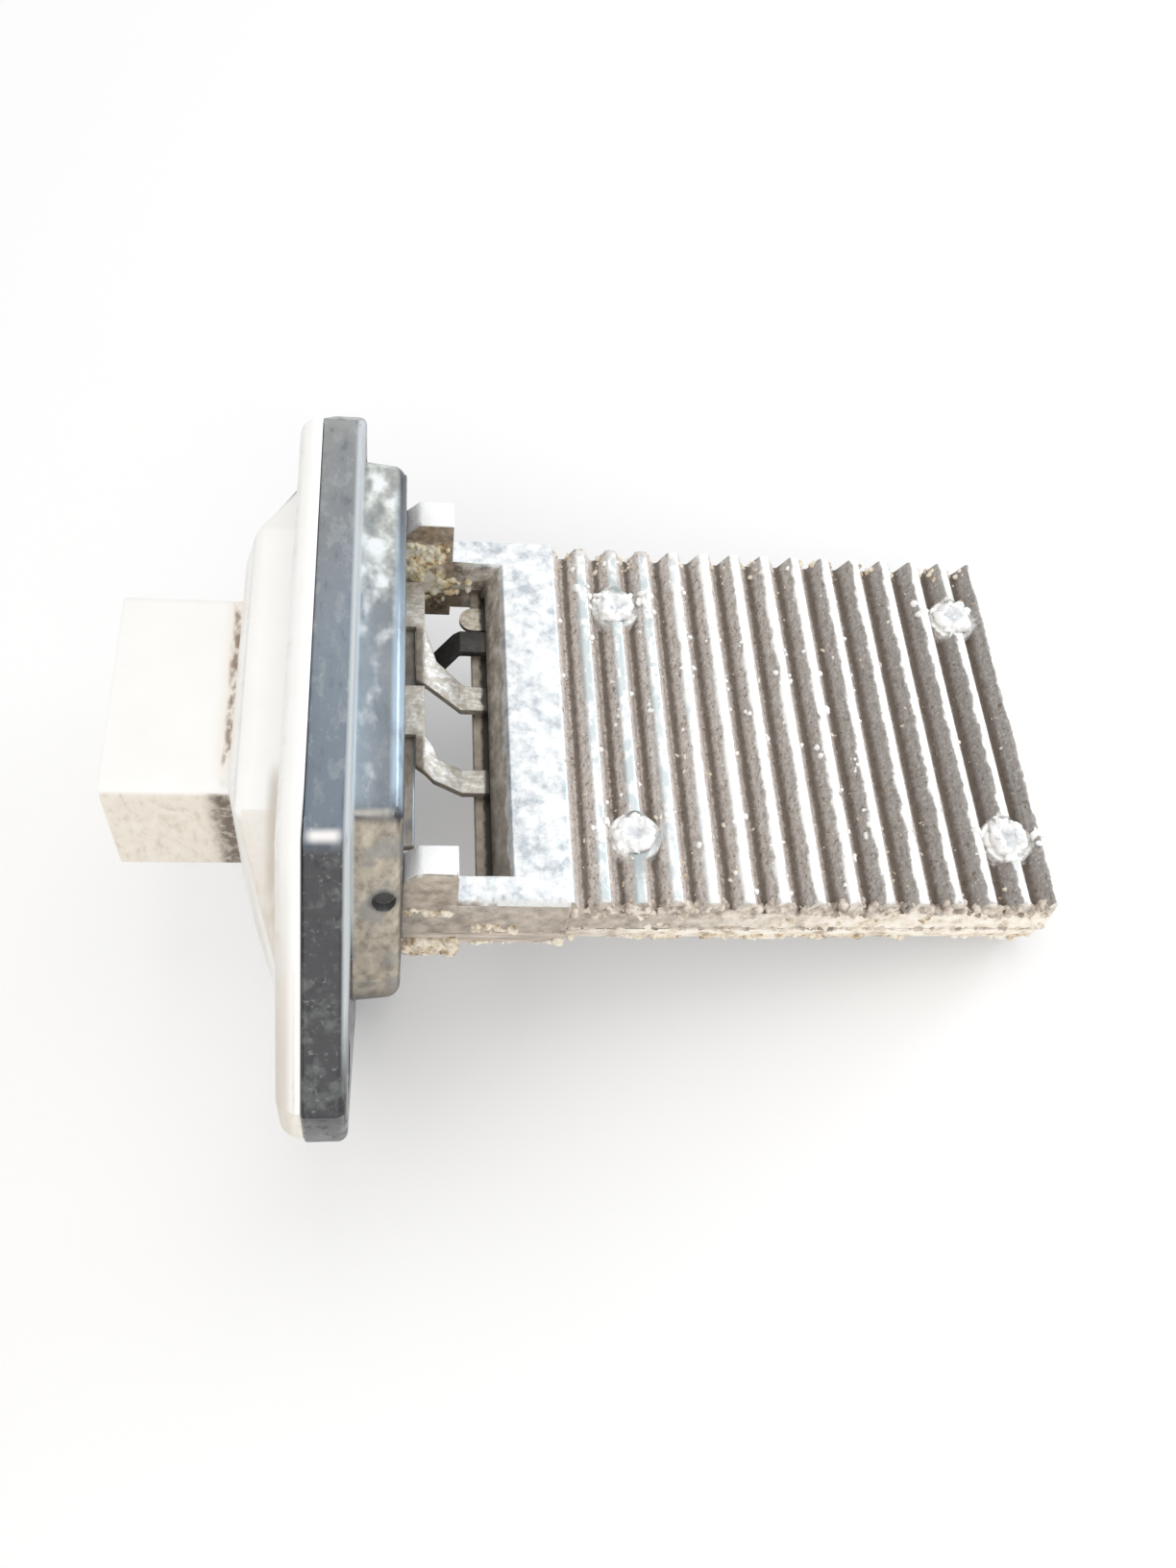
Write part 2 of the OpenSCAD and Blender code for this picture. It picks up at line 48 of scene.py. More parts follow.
# %% [markdown]
# ## Camera
# A camera can be dragged about until the picture looks right, but here its place was worked out from the
# rib edges, so it is written down as an eye point and two directions. Blender's sensor width belongs to the
# long side of the picture, so the lens follows from the picture's height.

# %% Place the camera
PICTURE_HEIGHT = 1632
FOCAL_PIXELS = 1400
SENSOR = 36
eye = Vector((3.48, -87.31, 134.51)) * MM
right = Vector((0.98900, -0.06210, 0.13424)).normalized()
up = Vector((-0.01566, 0.85852, 0.51255)).normalized()
back = right.cross(up)


def show(name, data):
    """A new object in the scene that shows a mesh, a camera or a lamp."""
    thing = bpy.data.objects.new(name, data)
    bpy.context.scene.collection.objects.link(thing)
    return thing


lens = bpy.data.cameras.new("bench_camera")
lens.sensor_width = SENSOR
lens.lens = SENSOR * FOCAL_PIXELS / PICTURE_HEIGHT
lens.clip_start = 5 * MM
camera = show("bench_camera", lens)
camera.matrix_world = Matrix((right, up, back)).transposed().to_4x4()
camera.location = eye
bpy.context.scene.camera = camera
print("lens mm:", round(lens.lens, 2))

# %% [markdown]
# ## Bench and light
# The part lies on the flange's lower edge and on the far end of the heat sink, so the bench is a disc
# through those two lines, tilted in the part's own frame. It is a plain matt white with a little glow of
# its own for the camera, so it stays white while the part's shadow still shows. The glow grows outwards, so
# the bench melts into the room behind it. An even white room gives most of the light. One large panel adds
# to it from above and behind, a second fills the near side from behind the camera, and a small cool one
# stands to the right, where the collar's rounded edge mirrors it.

# %% Lay the bench
# The two feet are x and z of the lines that the part lies on.
FLANGE_FOOT = Vector((-0.79, -23.18)) * MM
SINK_FOOT = Vector((78.9, -5.6)) * MM
BENCH_RADIUS = 0.42
BENCH_GAP = 0.05 * MM
slope = (SINK_FOOT.y - FLANGE_FOOT.y) / (SINK_FOOT.x - FLANGE_FOOT.x)
disc = bmesh.new()
bmesh.ops.create_circle(disc, cap_ends=True, segments=96, radius=BENCH_RADIUS)
for v in disc.verts:
    v.co.z = FLANGE_FOOT.y + slope * (v.co.x - FLANGE_FOOT.x) - BENCH_GAP
bench_mesh = bpy.data.meshes.new("bench")
disc.to_mesh(bench_mesh)
disc.free()
bench = show("bench", bench_mesh)
print("bench tilt in degrees:", round(math.degrees(math.atan(slope)), 1))

# %% Paint the bench
GLOW_START, GLOW_FULL = 0.1, 0.36
GLOW_UNDER_PART = 0.25


def combined(tree, operation, a, b):
    """What a math node makes of two sockets."""
    made = tree.nodes.new("ShaderNodeMath")
    made.operation = operation
    tree.links.new(a, made.inputs[0])
    tree.links.new(b, made.inputs[1])
    return made.outputs[0]


def seen_directly(tree):
    """1 for rays straight from the camera, mirrored or through glass, 0 for the rays that carry light."""
    ray = tree.nodes.new("ShaderNodeLightPath").outputs
    mirrored = combined(tree, "MAXIMUM", ray["Is Camera Ray"], ray["Is Glossy Ray"])
    return combined(tree, "MAXIMUM", mirrored, ray["Is Transmission Ray"])


def ranged(tree, value, limits, way="LINEAR"):
    """Turns one range of numbers into another. The limits are the old low and high, then the new ones."""
    span = tree.nodes.new("ShaderNodeMapRange")
    span.interpolation_type = way
    tree.links.new(value, span.inputs["Value"])
    for label, limit in zip(("From Min", "From Max", "To Min", "To Max"), limits):
        span.inputs[label].default_value = limit
    return span.outputs["Result"]


bench_paint = bpy.data.materials.new("bench_white")
bench_paint.use_nodes = True
tree = bench_paint.node_tree
tree.nodes.remove(tree.nodes["Principled BSDF"])
matt = tree.nodes.new("ShaderNodeBsdfDiffuse")
matt.inputs["Color"].default_value = (0.97, 0.965, 0.96, 1)
glow = tree.nodes.new("ShaderNodeEmission")
glow.inputs["Color"].default_value = (1, 1, 1, 1)
reach = tree.nodes.new("ShaderNodeVectorMath")
reach.operation = "LENGTH"
tree.links.new(tree.nodes.new("ShaderNodeTexCoord").outputs["Object"], reach.inputs[0])
outward = ranged(tree, reach.outputs["Value"], (GLOW_START, GLOW_FULL, GLOW_UNDER_PART, 1), "SMOOTHSTEP")
glow_share = combined(tree, "MULTIPLY", outward, seen_directly(tree))
mixed = tree.nodes.new("ShaderNodeMixShader")
for number, source in enumerate((glow_share, matt.outputs[0], glow.outputs[0])):
    tree.links.new(source, mixed.inputs[number])
tree.links.new(mixed.outputs[0], tree.nodes["Material Output"].inputs["Surface"])
bench_mesh.materials.append(bench_paint)
print("bench glow from", GLOW_UNDER_PART, "outwards to 1")

# %% Whiten the room
ROOM_LIGHT = 0.76
world = bpy.data.worlds.new("white_room")
world.use_nodes = True
tree = world.node_tree
sky = tree.nodes["Background"]
sky.inputs["Color"].default_value = (1, 1, 1, 1)
tree.links.new(ranged(tree, seen_directly(tree), (0, 1, ROOM_LIGHT, 1)), sky.inputs["Strength"])
bpy.context.scene.world = world
bpy.context.scene.view_settings.view_transform = "Standard"
print("room light:", ROOM_LIGHT)


# %% Hang the lamps
def panel_lamp(name, place_mm, aim_mm, size_mm, watts, tint):
    """A square soft light that faces a point."""
    data = bpy.data.lights.new(name, "AREA")
    data.size = size_mm * MM
    data.energy = watts
    data.color = tint
    lamp = show(name, data)
    lamp.location = Vector(place_mm) * MM
    toward = (Vector(aim_mm) - Vector(place_mm)).normalized()
    lamp.rotation_euler = toward.to_track_quat("-Z", "Y").to_euler()


panel_lamp("overhead_panel", (40, 150, 420), (26, 0, 0), 320, 0.42, (1, 0.99, 0.97))
panel_lamp("near_fill", (20, -420, 260), (26, 0, 0), 400, 0.6, (1, 0.985, 0.96))
panel_lamp("window_panel", (325, 190, 150), (5, -15, 18), 120, 0.55, (0.78, 0.89, 1))

# %% [markdown]
# ## A helper for finishes
# Every finish here is a chain of nodes that reads the piece's own coordinates in millimetres and the way
# its surface faces. Writing a small class first keeps each recipe short: noise for blotches, a fade for
# soft limits, a ramp for colours and a bump for grain. Masks go from 0 to 1 and are multiplied or compared.
# Nothing is painted by hand, so the dirt follows the shape.


# %% Finish helper
class Finish:
    """One material whose nodes read the place in millimetres and the facing of the surface."""

    def __init__(self, name):
        self.material = bpy.data.materials.new(name)
        self.material.use_nodes = True
        self.tree = self.material.node_tree
        self.shader = self.tree.nodes["Principled BSDF"]
        place = self.node("ShaderNodeVectorMath", operation="SCALE")
        place.inputs["Scale"].default_value = 1 / MM
        self.put(self.node("ShaderNodeTexCoord").outputs["Object"], place.inputs[0])
        self.mm = place.outputs["Vector"]
        self.x, self.y, self.z = self.parts(self.mm)
        self.nx, self.ny, self.nz = self.parts(self.node("ShaderNodeNewGeometry").outputs["Normal"])

    def node(self, kind, **settings):
        made = self.tree.nodes.new(kind)
        for key, value in settings.items():
            setattr(made, key, value)
        return made

    def put(self, value, socket):
        """Links a socket to another, or sets its own value."""
        if isinstance(value, bpy.types.NodeSocket):
            self.tree.links.new(value, socket)
        elif isinstance(value, tuple):
            socket.default_value = (*value, 1)[:len(socket.default_value)]
        else:
            socket.default_value = value

    def parts(self, vector):
        split = self.node("ShaderNodeSeparateXYZ")
        self.put(vector, split.inputs[0])
        return split.outputs[0], split.outputs[1], split.outputs[2]

    def math(self, operation, a, b=0.0):
        made = self.node("ShaderNodeMath", operation=operation)
        self.put(a, made.inputs[0])
        self.put(b, made.inputs[1])
        return made.outputs[0]

    def minus(self, a, b):
        return self.math("SUBTRACT", a, b)

    def off(self, value, centre):
        """How far a value is from a centre, to either side."""
        return self.math("ABSOLUTE", self.minus(value, centre))

    def length(self, a, b):
        """The long side of the right triangle with sides a and b."""
        return self.math("SQRT", self.math("ADD", self.math("MULTIPLY", a, a), self.math("MULTIPLY", b, b)))

    def all_of(self, *masks):
        result = masks[0]
        for mask in masks[1:]:
            result = self.math("MULTIPLY", result, mask)
        return result

    def any_of(self, *masks):
        result = masks[0]
        for mask in masks[1:]:
            result = self.math("MAXIMUM", result, mask)
        return result

    def fade(self, value, low, high):
        """0 at low, 1 at high, smooth between. low may be the larger."""
        made = self.node("ShaderNodeMapRange", interpolation_type="SMOOTHSTEP")
        self.put(value, made.inputs["Value"])
        self.put(low, made.inputs["From Min"])
        self.put(high, made.inputs["From Max"])
        return made.outputs["Result"]

    def band(self, value, start, full, ease, end):
        """0 up to start, 1 from full to ease, 0 again from end."""
        return self.all_of(self.fade(value, start, full), self.fade(value, end, ease))

    def where(self, *masks, **limits):
        """All masks, and each named coordinate or facing past its two limits, or in a band of four."""
        for axis, span in limits.items():
            limit = self.fade if len(span) == 2 else self.band
            masks += (limit(getattr(self, axis), *span),)
        return self.all_of(*masks)

    def shifted(self, value, noise, reach):
        """The value moved up or down by noise, at most by half of reach."""
        return self.math("ADD", value, self.math("MULTIPLY", self.minus(noise, 0.5), reach))

    def frayed(self, value, noise, reach, low, high):
        """A fade with a ragged limit."""
        return self.fade(self.shifted(value, noise, reach), low, high)

    def noise(self, size, detail=3.0, rough=0.55, stretch=(1, 1, 1), seed=0.0):
        """Soft noise from 0 to 1 whose blotches are about size millimetres wide."""
        move = self.node("ShaderNodeMapping")
        self.put(self.mm, move.inputs["Vector"])
        move.inputs["Scale"].default_value = [1 / (size * s) for s in stretch]
        move.inputs["Location"].default_value = (seed * 7.3, seed * 3.1, seed * 5.7)
        made = self.node("ShaderNodeTexNoise")
        self.put(move.outputs[0], made.inputs["Vector"])
        made.inputs["Scale"].default_value = 1
        made.inputs["Detail"].default_value = detail
        made.inputs["Roughness"].default_value = rough
        return made.outputs["Fac"]

    def ramp(self, value, *stops):
        """Colours at places from 0 to 1, mixed between. A stop is its place and its colour."""
        made = self.node("ShaderNodeValToRGB")
        band = made.color_ramp
        while len(band.elements) < len(stops):
            band.elements.new(0.5)
        for element, (place, *colour) in zip(band.elements, stops):
            element.position = place
            element.color = (*colour, 1)
        self.put(value, made.inputs[0])
        return made.outputs["Color"]

    def blend(self, share, under, over):
        made = self.node("ShaderNodeMix", data_type="RGBA")
        self.put(share, made.inputs[0])
        self.put(under, made.inputs[6])
        self.put(over, made.inputs[7])
        return made.outputs[2]

    def between(self, share, low, high):
        made = self.node("ShaderNodeMapRange")
        self.put(share, made.inputs["Value"])
        made.inputs["To Min"].default_value = low
        made.inputs["To Max"].default_value = high
        return made.outputs["Result"]

    def tint(self, under, mask, most, over):
        """A colour laid over another where the mask is 1, but at most to a share."""
        return self.blend(self.between(mask, 0, most), under, over)

    def grain(self, *layers):
        """Bump from (height, strength, depth in millimetres) layers, stacked."""
        normal = None
        for height, strength, depth in layers:
            made = self.node("ShaderNodeBump")
            made.inputs["Strength"].default_value = strength
            made.inputs["Distance"].default_value = depth * MM
            self.put(height, made.inputs["Height"])
            if normal is not None:
                self.put(normal, made.inputs["Normal"])
            normal = made.outputs["Normal"]
        self.put(normal, self.shader.inputs["Normal"])

    def note(self, step):
        print(self.material.name, "with", step + ":", len(self.tree.nodes), "nodes")

    def surface(self, colour, roughness, metallic=0.0):
        self.put(colour, self.shader.inputs["Base Color"])
        self.put(roughness, self.shader.inputs["Roughness"])
        self.put(metallic, self.shader.inputs["Metallic"])
        self.note("its surface")
        return self.material


print("finish helper ready")

# %% [markdown]
# ## Cast aluminium, upper half
# On the real part the rib tops and the plain band are rubbed bright, while the grooves hold years of
# grey-brown dust, and a dark line painted along the groove floor stands for that dust and for the shade in
# the groove's corner. The ribs repeat every four millimetres, so a remainder of x tells how far a point is
# from the nearest rib edge, and noise added to that distance makes the limit ragged. The same trick with the
# distance from the nearest rivet keeps the struck bosses bright. The near side is grey at the arm and cream
# towards the end, and the window's walls are sooty, with a scab of burnt dirt on the far lug. The low wall
# at the slot's mouth is painted dark as painted shade, and the lug tops are painted near white: bare metal,
# with painted light where the collar's shade falls on them.

# %% Where the upper casting is rubbed bare
RIB_FIELD_X = 23.5
RIB_PITCH = 4.0
RIB_MIDDLE = 3.4
RIB_HALF = 0.6
RIB_TOP_Z = 5.6
RIVET_X = (30.9, 74.9)
RIVET_Y = 16.1


def rivet_distance(finish):
    """Distance from the nearest rivet's axis, using the symmetry of the four."""
    middle = sum(RIVET_X) / 2
    dx = finish.minus(finish.off(finish.x, middle), RIVET_X[1] - middle)
    return finish.length(dx, finish.minus(finish.math("ABSOLUTE", finish.y), RIVET_Y))


cast = Finish("cast_upper")
ragged = cast.noise(0.7, 3, 0.6, seed=1)
burr = cast.noise(1.5, 5, 0.66, stretch=(1, 1.6, 1), seed=27)
patch = cast.noise(1.9, 6, 0.68, seed=2)
speck = cast.noise(0.4, 2, seed=3)
along = cast.noise(0.7, 5, 0.7, stretch=(0.9, 1.5, 1), seed=4)

step = cast.math("FLOORED_MODULO", cast.minus(cast.x, RIB_FIELD_X), RIB_PITCH)
from_edge = cast.any_of(cast.minus(RIB_HALF, cast.off(step, RIB_MIDDLE)), cast.minus(RIB_FIELD_X, cast.x))
in_ribs = cast.where(x=(RIB_FIELD_X - 0.3, RIB_FIELD_X + 0.1))
climb = cast.all_of(
    cast.fade(step, RIB_MIDDLE, RIB_MIDDLE - 0.2), cast.between(cast.where(x=(40, 76)), 0, 0.34))
far_ends = cast.any_of(
    cast.frayed(cast.y, burr, 7, 25.0, 22.9), cast.frayed(cast.x, patch, 12, 35, 39),
    cast.where(x=(RIB_FIELD_X, RIB_FIELD_X - 0.3)))
on_top = cast.where(
    cast.frayed(cast.minus(from_edge, climb), burr, 1.7, -0.22, 0.14),
    cast.frayed(cast.z, burr, 1.6, RIB_TOP_Z - 1.1, RIB_TOP_Z - 0.4),
    cast.frayed(cast.y, burr, 3, -25.2, -24.2), far_ends, nz=(0.2, 0.6))
lug_top = cast.where(z=(10.2, 10.8), ny=(-0.5, -0.3))
boss = cast.frayed(rivet_distance(cast), ragged, 1.4, 3.3, 2.8)
worn = cast.any_of(on_top, lug_top, cast.all_of(boss, cast.between(cast.fade(patch, 0.4, 0.5), 0.45, 0.95)))
cast.note("bare metal")

# %% Tones of the bare metal
band_tone = cast.ramp(patch, (0.36, 0.46, 0.5, 0.54), (0.46, 0.66, 0.69, 0.71), (0.58, 0.86, 0.865, 0.865))
rib_tone = cast.ramp(along, (0.3, 0.7, 0.69, 0.66), (0.42, 0.92, 0.92, 0.9), (0.8, 0.95, 0.95, 0.94))
dull_ribs = cast.all_of(cast.frayed(cast.x, patch, 24, 43, 33), cast.fade(burr, 0.42, 0.54))
rib_tone = cast.tint(rib_tone, dull_ribs, 0.85, (0.52, 0.58, 0.59))
bright = cast.blend(in_ribs, band_tone, rib_tone)
# The lug tops are painted near white: bare metal, with painted light where the collar's shade falls on them.
bright = cast.blend(cast.where(z=(10, 10.5)), bright, (0.97, 0.97, 0.965))
cast.note("metal tones")

# %% Dust and painted shade in the grooves
wall_tone = cast.ramp(along, (0.3, 0.4, 0.355, 0.32), (0.48, 0.66, 0.61, 0.57), (0.7, 0.86, 0.82, 0.79))
wall_tone = cast.tint(wall_tone, cast.where(x=(22, 74)), 0.62, (0.15, 0.145, 0.138))
rosy_wall = cast.ramp(along, (0.3, 0.4, 0.33, 0.285), (0.46, 0.66, 0.58, 0.525), (0.7, 0.82, 0.75, 0.7))
wall_tone = cast.blend(cast.where(nx=(0.2, 0.5)), wall_tone, rosy_wall)
wall_tone = cast.tint(wall_tone, cast.fade(speck, 0.56, 0.68), 0.6, (0.26, 0.21, 0.17))
wall_tone = cast.tint(wall_tone, cast.fade(speck, 0.42, 0.3), 0.4, (0.86, 0.8, 0.72))
# A dark line painted along each groove floor: dust, and painted shade in the groove's corner.
deep_dust_and_shade = cast.where(in_ribs, cast.band(cast.shifted(step, ragged, 0.6), 1.1, 1.5, 1.7, 2.3), z=(4.6, 3.7))
dirt = cast.tint(wall_tone, deep_dust_and_shade, 0.88, (0.145, 0.115, 0.09))
pits = cast.all_of(
    in_ribs, cast.fade(cast.noise(0.55, 3, 0.6, seed=28), 0.58, 0.68), cast.fade(from_edge, 0.2, -0.1))
dirt = cast.tint(dirt, pits, 0.7, (0.12, 0.085, 0.06))
cast.note("groove dust")

# %% Dirt on the outer sides
end_tone = cast.ramp(patch, (0.34, 0.27, 0.235, 0.195), (0.66, 0.6, 0.555, 0.49))
dirt = cast.blend(cast.where(x=(78.5, 78.8)), dirt, end_tone)
rib_ends = cast.ramp(patch, (0.36, 0.4, 0.35, 0.3), (0.5, 0.66, 0.6, 0.53), (0.64, 0.9, 0.83, 0.73))
cream = cast.ramp(patch, (0.34, 0.58, 0.49, 0.39), (0.45, 0.84, 0.76, 0.65), (0.58, 0.95, 0.9, 0.81))
grey_arm = cast.ramp(patch, (0.36, 0.3, 0.255, 0.21), (0.6, 0.54, 0.475, 0.405))
lug_tone = cast.ramp(patch, (0.36, 0.31, 0.26, 0.21), (0.62, 0.6, 0.52, 0.43))
coat = cast.blend(cast.frayed(cast.z, patch, 3, 3.9, 2.9), rib_ends, cream)
coat = cast.tint(coat, cast.frayed(cast.x, patch, 24, 60, 24), 0.95, grey_arm)
coat = cast.blend(cast.where(z=(RIB_TOP_Z, RIB_TOP_Z + 0.5)), coat, lug_tone)
near_side = cast.where(ny=(-0.55, -0.85), y=(-20, -23))
dirt = cast.blend(near_side, dirt, coat)
cast.note("side dirt")

# %% Dirt and painted slot shade in the window, and the finished casting
wall_grey = cast.ramp(burr, (0.36, 0.3, 0.255, 0.205), (0.5, 0.52, 0.465, 0.395), (0.64, 0.74, 0.69, 0.61))
wall_grey = cast.tint(wall_grey, cast.where(y=(6, -20)), 0.5, (0.27, 0.24, 0.205))
# The low wall at the slot's mouth is painted dark, as painted shade.
slot_shade = cast.where(
    cast.frayed(cast.z, ragged, 1.2, 2.9, 1.2), cast.fade(cast.math("ABSOLUTE", cast.y), 22, 21.4),
    x=(13, 14))
wall_grey = cast.blend(slot_shade, wall_grey, (0.13, 0.112, 0.092))
far_wall = cast.where(y=(20.5, 21), ny=(-0.5, -0.8))
scab = cast.ramp(patch, (0.36, 0.42, 0.32, 0.21), (0.43, 0.82, 0.72, 0.53), (0.52, 0.97, 0.93, 0.82))
burnt = cast.ramp(ragged, (0.35, 0.13, 0.085, 0.055), (0.65, 0.42, 0.3, 0.2))
scorch = cast.any_of(cast.frayed(cast.z, patch, 5, 8.2, 9.6), cast.frayed(cast.x, patch, 3, 9.4, 10.2))
far_lug = cast.where(far_wall, x=(11.4, 10.9))
wall_grey = cast.blend(far_lug, wall_grey, cast.tint(scab, scorch, 0.85, burnt))
soot = cast.ramp(burr, (0.4, 0.17, 0.135, 0.105), (0.5, 0.4, 0.355, 0.3), (0.62, 0.66, 0.61, 0.53))
far_arm = cast.where(far_wall, x=(10.9, 11.4))
wall_grey = cast.tint(wall_grey, far_arm, 0.8, soot)
chips = cast.where(cast.frayed(cast.z, burr, 5, RIB_TOP_Z - 1.1, RIB_TOP_Z - 0.2), x=(13, 14))
wall_grey = cast.tint(wall_grey, chips, 0.8, (0.84, 0.84, 0.82))
inner_wall = cast.where(cast.fade(near_side, 0.6, 0.2), x=(23, 22.5))
dirt = cast.blend(inner_wall, dirt, wall_grey)

cast.grain((speck, 0.4, 0.12), (patch, 0.4, 0.3))
metallic = cast.all_of(cast.between(worn, 0.0, 0.35), cast.fade(lug_top, 0.6, 0.2))
upper_cast = cast.surface(cast.blend(worn, dirt, bright), cast.between(worn, 0.88, 0.45), metallic)

# %% [markdown]
# ## Cast aluminium, lower half
# Only the edge of the lower half shows from above. It has the same metal under a heavier coat of road dirt,
# cream on the near side and brown elsewhere, and its downward ribs are rubbed where the part has lain on
# shelves.

# %% Finish of the lower casting
low = Finish("cast_lower")
patch = low.noise(2.2, 5, 0.62, seed=5)
speck = low.noise(0.5, 2, seed=6)
streak = low.noise(1.4, 4, 0.6, stretch=(4, 1, 0.8), seed=7)
dust = low.ramp(patch, (0.33, 0.26, 0.22, 0.18), (0.5, 0.42, 0.375, 0.32), (0.68, 0.6, 0.545, 0.47))
far_lug = low.where(y=(18, 20), x=(13, 12))
dust = low.blend(far_lug, dust, low.ramp(patch, (0.36, 0.16, 0.12, 0.08), (0.64, 0.36, 0.28, 0.2)))
# The edge at the slot's mouth is painted dark, as painted shade.
slot_shade = low.where(x=(14.0, 14.6), nz=(0.3, 0.7))
dust = low.blend(slot_shade, dust, (0.09, 0.078, 0.064))
cream = low.ramp(patch, (0.36, 0.5, 0.41, 0.32), (0.46, 0.86, 0.77, 0.65), (0.58, 0.96, 0.91, 0.82))
grey_arm = low.ramp(streak, (0.34, 0.38, 0.32, 0.27), (0.62, 0.7, 0.62, 0.53))
cream = low.blend(low.frayed(low.x, patch, 12, 34, 22), cream, grey_arm)
near_side = low.where(ny=(-0.5, -0.85), y=(-20, -23))
rubbed = low.where(nz=(-0.6, -0.9), z=(-5.1, -5.5))
metal = low.ramp(patch, (0.35, 0.42, 0.42, 0.42), (0.6, 0.74, 0.74, 0.73))
low.grain((speck, 0.4, 0.15), (patch, 0.4, 0.35))
lower_cast = low.surface(
    low.blend(rubbed, low.blend(near_side, dust, cream), metal), low.between(rubbed, 0.88, 0.45),
    low.between(rubbed, 0.0, 0.5))

# %% [markdown]
# ## Cream plastic
# The plug housing is a cream moulding, greyer on its near walls from handling grime and painted shade, and
# dusty at the back. Dirt has settled where the plug shroud meets the mound, darkened there by painted shade,
# and in small spots on the near wall. The valley beside the mound, the mound's near end and the rounded foot
# carry painted shade, and a painted dark line marks the gap at the seam. Dirt like this could be painted on,
# but a mask for each place, with a noise to break its limit, needs no painting.

# %% Dirt and painted shade on the plug shroud
CREASE_X = -13.7
shell = Finish("cream_plastic")
cloud = shell.noise(6, 3, seed=8)
smear = shell.noise(1.2, 4, 0.65, stretch=(1, 1, 2), seed=9)
crumb = shell.noise(1.1, 3, 0.6, stretch=(1, 1.9, 1), seed=10)
blot = shell.noise(1.7, 3, 0.5, stretch=(1.2, 1, 1.6), seed=25)
clean = shell.ramp(cloud, (0.3, 0.94, 0.93, 0.905), (0.7, 0.965, 0.96, 0.945))
grey = shell.ramp(smear, (0.32, 0.64, 0.565, 0.455), (0.46, 0.79, 0.72, 0.615), (0.7, 0.85, 0.795, 0.705))
near_wall = shell.where(ny=(-0.75, -0.95))
# Walls turned to the near side are greyer: handling grime, and painted shade on the side away from the light.
handling_grime_and_shade = shell.all_of(near_wall, shell.between(shell.where(y=(-38, -43)), 0.9, 0.65))
coat = shell.blend(handling_grime_and_shade, clean, grey)
back_dust = shell.where(shell.fade(shell.noise(2.4, 6, 0.7, seed=30), 0.42, 0.7), nx=(-0.6, -0.9))
coat = shell.tint(coat, back_dust, 0.32, (0.7, 0.635, 0.54))

off_crease = shell.off(shell.shifted(shell.x, cloud, 1.6), CREASE_X)
in_reach = shell.where(z=(5, 7.6), y=(-13.5, -8, 11, 15))
crease = shell.all_of(in_reach, shell.fade(off_crease, 1.7, 0.2))
coat = shell.tint(coat, crease, 0.3, (0.86, 0.72, 0.54))
plug_wall = shell.where(near_wall, x=(-9, -11))
root_spots = shell.where(plug_wall, shell.fade(blot, 0.54, 0.66), x=(-25, -15), z=(-2, 5))
coat = shell.tint(coat, root_spots, 0.6, (0.34, 0.275, 0.16))
# The dark root where the shroud meets the mound: dirt, with painted shade in that corner.
root = shell.all_of(
    plug_wall, shell.frayed(shell.x, smear, 3.4, -16.4, -14.0),
    shell.between(shell.fade(crumb, 0.36, 0.56), 0.55, 0.95))
coat = shell.blend(root, coat, (0.125, 0.085, 0.055))
spots = shell.all_of(in_reach, shell.fade(off_crease, 0.7, 0.1), shell.fade(crumb, 0.38, 0.62))
coat = shell.tint(coat, spots, 0.9, (0.25, 0.165, 0.105))
shell.note("shroud dirt")

# %% Painted shade on the light flange and the mound
# Painted shade in the valley beside the mound, where the fillet's shadow falls.
valley_shade = shell.where(
    shell.fade(shell.noise(3, 3, stretch=(1, 3, 2), seed=11), 0.3, 0.55), x=(-9.0, -7.9, -7.2, -6.8),
    y=(-31, -27, -16, -12), nx=(-0.9, -0.5))
coat = shell.tint(coat, valley_shade, 0.6, (0.46, 0.39, 0.31))
# A painted dark line at the seam with the dark flange: painted shade in the gap between the two.
seam = shell.where(x=(-4.5, -4.4), y=(-20, -27))
coat = shell.tint(coat, seam, 0.85, (0.06, 0.05, 0.045))
# Painted shade on the near end of the mound, which faces away from the light.
mound_end_shade = shell.where(
    shell.between(smear, 0.4, 1.2), ny=(-0.25, -0.6), x=(-6.9, -7.6), y=(-36, -31, -16, -13))
coat = shell.tint(coat, mound_end_shade, 0.8, (0.64, 0.55, 0.44))
# Painted shade on the foot's rounded back edge, where it turns away from the light.
foot = shell.where(y=(-22, -44), nx=(-0.1, -0.6), x=(-7.9, -6.6))
coat = shell.tint(coat, foot, 0.65, (0.58, 0.5, 0.405))
shell.grain((shell.noise(0.3, 2, seed=12), 0.12, 0.05), (smear, 0.12, 0.12))
housing_plastic = shell.surface(coat, shell.between(smear, 0.42, 0.62))

# %% [markdown]
# ## Dark plastic
# The flange is a dark glossy plastic under a dust film: lighter on top, where a painted bluish sky reflection
# lies on the dust, charcoal with soft blotches and pale specks on the near slope, brown dust on the collar's
# slope and on the shelf under the leads, and a chalky bloom at the far end. The small dent in the collar is
# painted darker, darkest at its floor, as painted shade. The kinks, the crevice beside the collar and the
# collar's edge carry painted highlights, pale on the kinks and in the crevice, bluish on the collar's edge.

# %% Film, painted sheen and dust on the dark flange
COLLAR_END_X = 5.1
dark = Finish("dark_plastic")
cloud = dark.noise(5, 4, 0.6, stretch=(1, 2.2, 1.4), seed=13)
smear = dark.noise(1.6, 4, 0.6, stretch=(0.8, 1.8, 1), seed=14)
dots = dark.noise(0.55, 2, 0.5, seed=15)
on_collar = dark.where(x=(0.05, 0.3))
resin = dark.ramp(smear, (0.3, 0.01, 0.0095, 0.014), (0.7, 0.03, 0.029, 0.035))
